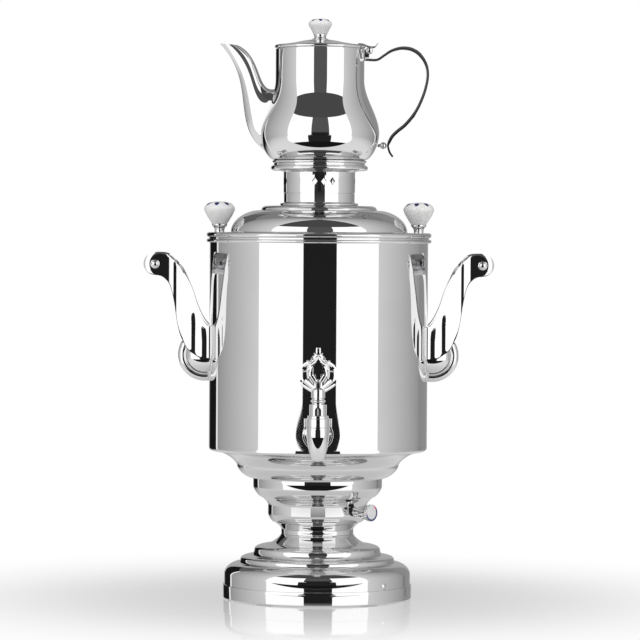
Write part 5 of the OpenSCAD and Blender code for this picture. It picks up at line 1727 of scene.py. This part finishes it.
@dataclass
class Strap:
    """Strap handle of the teapot with its ball, and the hinge bracket of the lid."""

    neck_r: float = 48.7
    hinge: Point = (54.1, 602.75)
    course: tuple[Point, ...] = (
        (48.7, 592.6), (52.6, 592.5), (62.8, 592.6), (71, 597.8), (78.2, 602.4), (87.3, 605.2),
        (95, 605.3), (101, 603.9), (107.4, 600.3), (113.7, 593.5), (117.6, 585.3), (118.7, 576.2),
        (117.6, 566.6), (114.2, 554.3), (108.2, 540.3), (101.8, 530.4), (93.6, 521),
        (85.2, 514.1), (80, 508.8), (76.3, 502.3), (75.3, 497.9), (77.3, 491.2), (80.7, 486.3))
    width: float = 11.0
    thick: float = 3.0
    ball: Point = (70.0, 498.4)
    ball_r: float = 3.8
    barrel_r: float = 3.6

    def build(self) -> None:
        """Makes the strap, the ball and the bracket."""
        path = through(self.course, 7)
        last = len(path) - 1
        sizes = [(0.75 + 0.25 * math.sin(math.pi * i / last),
                  0.85 + 0.4 * smooth(0.12, 0.3, i / last) * (1 - smooth(0.8, 1.0, i / last)))
                 for i in range(last + 1)]
        piece(swept(path, slat(self.width / 2, self.thick / 2, 15), sizes), "pot_handle", MIRROR,
              Body.TEAPOT, ["pot_handle"], crease=50)
        x, z = self.ball
        stem = spun([(0, -6.4), (1.5, -6.4), (1.9, -4.6), (1.5, -3.2), (1.5, 5.4), (0, 5.4)],
                    closed=False, steps=32)
        stub = joined(ball(x, 0, z, self.ball_r), moved(stem, at(x, 0, z) @ turned(90, "Y")))
        piece(stub, "pot_handle_ball", MIRROR, Body.TEAPOT, ["pot_handle_ball"])
        self.bracket()

    def bracket(self) -> None:
        """Makes the plate on the neck with the two ears that hold the pin."""
        n, (x, z) = self.neck_r, self.hinge
        parts = [block((n - 0.6, -6, z - 11), (n + 1.5, 6, z - 1.6), 0.5)]
        for end in (-1, 1):
            parts.append(block((n, end * 5 - 1, z - 7.8), (x, end * 5 + 1, z + 1.0), 0.4))
            cap = spun([(0, -1), (self.barrel_r + 0.3, -1), (self.barrel_r + 0.3, 0.4)]
                       + quarter((self.barrel_r + 0.3, 0.4), (0, 2.6), (0, 0.4), 1.0),
                       closed=False, steps=48)
            parts.append(moved(cap, at(x, end * 5, z) @ turned(-90 * end, "X")))
        piece(joined(*parts), "pot_hinge_bracket", MIRROR, Body.TEAPOT, ["pot_hinge_bracket"])


@dataclass
class PotLid:
    """Lid of the teapot with its hinge leaf, ferrule and porcelain knob."""

    neck_r: float = 48.7
    rim_z: float = 603.5
    low: float = 604.5
    rim_h: float = 3.9
    sheet: float = 1.0
    hinge: Point = (54.1, 602.75)
    barrel_r: float = 3.6
    barrel_w: float = 7.0
    top_z: float = 614.5
    ferrule_h: float = 5.4
    china_h: float = 17.4
    china_r: float = 12.9

    def build(self) -> None:
        """Makes the lid's pieces."""
        high = self.low + self.rim_h
        edge = (self.neck_r + 1.1 - self.rim_h / 2, self.low + self.rim_h / 2)
        top = tidy(arc(edge, self.rim_h / 2, -90, 80, 16)
                   + through([(self.neck_r - 3, high + 0.1), (self.neck_r - 6.7, high + 0.6),
                              (36, high + 1.4), (28, high + 2.7), (19, high + 4.6),
                              (9, high + 6.1), (3, high + 6.4)], 6))
        n = self.neck_r - self.sheet
        collar = [(n - 2.3, self.rim_z - 6), (n - 1.2, self.rim_z - 6), (n - 1.2, self.low),
                  (n + 0.2, self.low), (n + 0.2, self.low + 1), (n - 1.2, self.low + 1),
                  (n - 1.2, high - 1.0), (n - 2.3, high - 0.9)]
        piece(joined(spun(walled(top, self.sheet)), spun(collar)), "pot_lid", MIRROR,
              Body.TEAPOT_LID, ["pot_lid"], crease=50)
        self.leaf(high)
        ferrule = [(0, -1.4), (8.8, -1.4), (8.8, 0.5), (8.3, 0.9), (7.2, 1.0), (6.7, 1.5),
                   (6.4, 2.4), (6.5, 3.2), (6.9, 3.9), (7.0, self.ferrule_h), (0, self.ferrule_h)]
        piece(moved(spun(ferrule, closed=False, steps=72), at(0, 0, self.top_z)), "pot_ferrule",
              MIRROR, Body.TEAPOT_LID, ["pot_ferrule"], crease=25)
        base = self.top_z + self.ferrule_h
        glaze = porcelain("pot_knob_porcelain", 0.0, base + self.china_h * 0.66, 2.0, 0.76)
        piece(moved(china_knob(self.china_r, self.china_h, 7.4), at(0, 0, base)), "pot_knob",
              glaze, Body.TEAPOT_LID, ["pot_knob"])

    def leaf(self, high: float) -> None:
        """Makes the hinge leaf with its barrel and thumb tab.

        Args:
            high: Height of the lid's rim.
        """
        x, z = self.hinge
        barrel = moved(spun([(0, -3.5), (self.barrel_r, -3.5), (self.barrel_r, 3.5), (0, 3.5)],
                            closed=False, steps=48), at(x, 0, z) @ turned(90, "X"))
        n, half = self.neck_r, self.barrel_w / 2
        strip = swept(through([(n - 7, high + 1.3), (n - 2, high + 0.9), (n + 2.3, high - 0.8),
                               (x, z + 3.9), (x + 3.6, z + 3.5), (x + 6.3, z + 4.2),
                               (x + 9.3, z + 8.0)], 6), slat(half, 0.85))
        piece(joined(barrel, strip), "pot_lid_leaf", MIRROR, Body.TEAPOT_LID, ["pot_lid_leaf"])


CAD_FINISHES = {
    "rubber_feet": RUBBER, "base_plate": PLAIN, "cord_gland": RUBBER, "terminal_block": CERAMIC,
    "tie_rods": PLAIN, "tie_nuts": PLAIN, "thermostat_body": CERAMIC, "safety_cutout": PLASTIC,
    "heating_element": ELEMENT, "element_nuts": PLAIN, "tap_gasket": RUBBER, "tap_nut": PLAIN,
    "handle_studs": PLAIN, "dial_shaft": PLAIN, "lid_screws": PLAIN, "pot_hinge_pin": PLAIN,
    "pot_knob_screw": PLAIN,
}


def dress_cad(finishes: dict[str, Finish]) -> None:
    """Gives the CAD nodes that stay in view their finishes.

    Args:
        finishes: Finish by node.
    """
    for name, finish in finishes.items():
        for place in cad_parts[name].material_slots:
            place.material = finish.material()
        LOG.info("%s: %s", name, finish.name)


def main() -> None:
    """Builds the studio and the samovar."""
    logging.basicConfig(level=logging.INFO, format="%(name)s %(message)s")
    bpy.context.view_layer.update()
    Studio().build()
    dress_cad(CAD_FINISHES)
    parts = (Foot(), Pedestal(), Dial(), Tank(), Tap(), Handle(-1), Handle(1), Lid(), Holder(),
             Teapot(), Spout(), Strap(), PotLid())
    for part in parts:
        part.build()


if __name__ == "__main__":
    main()
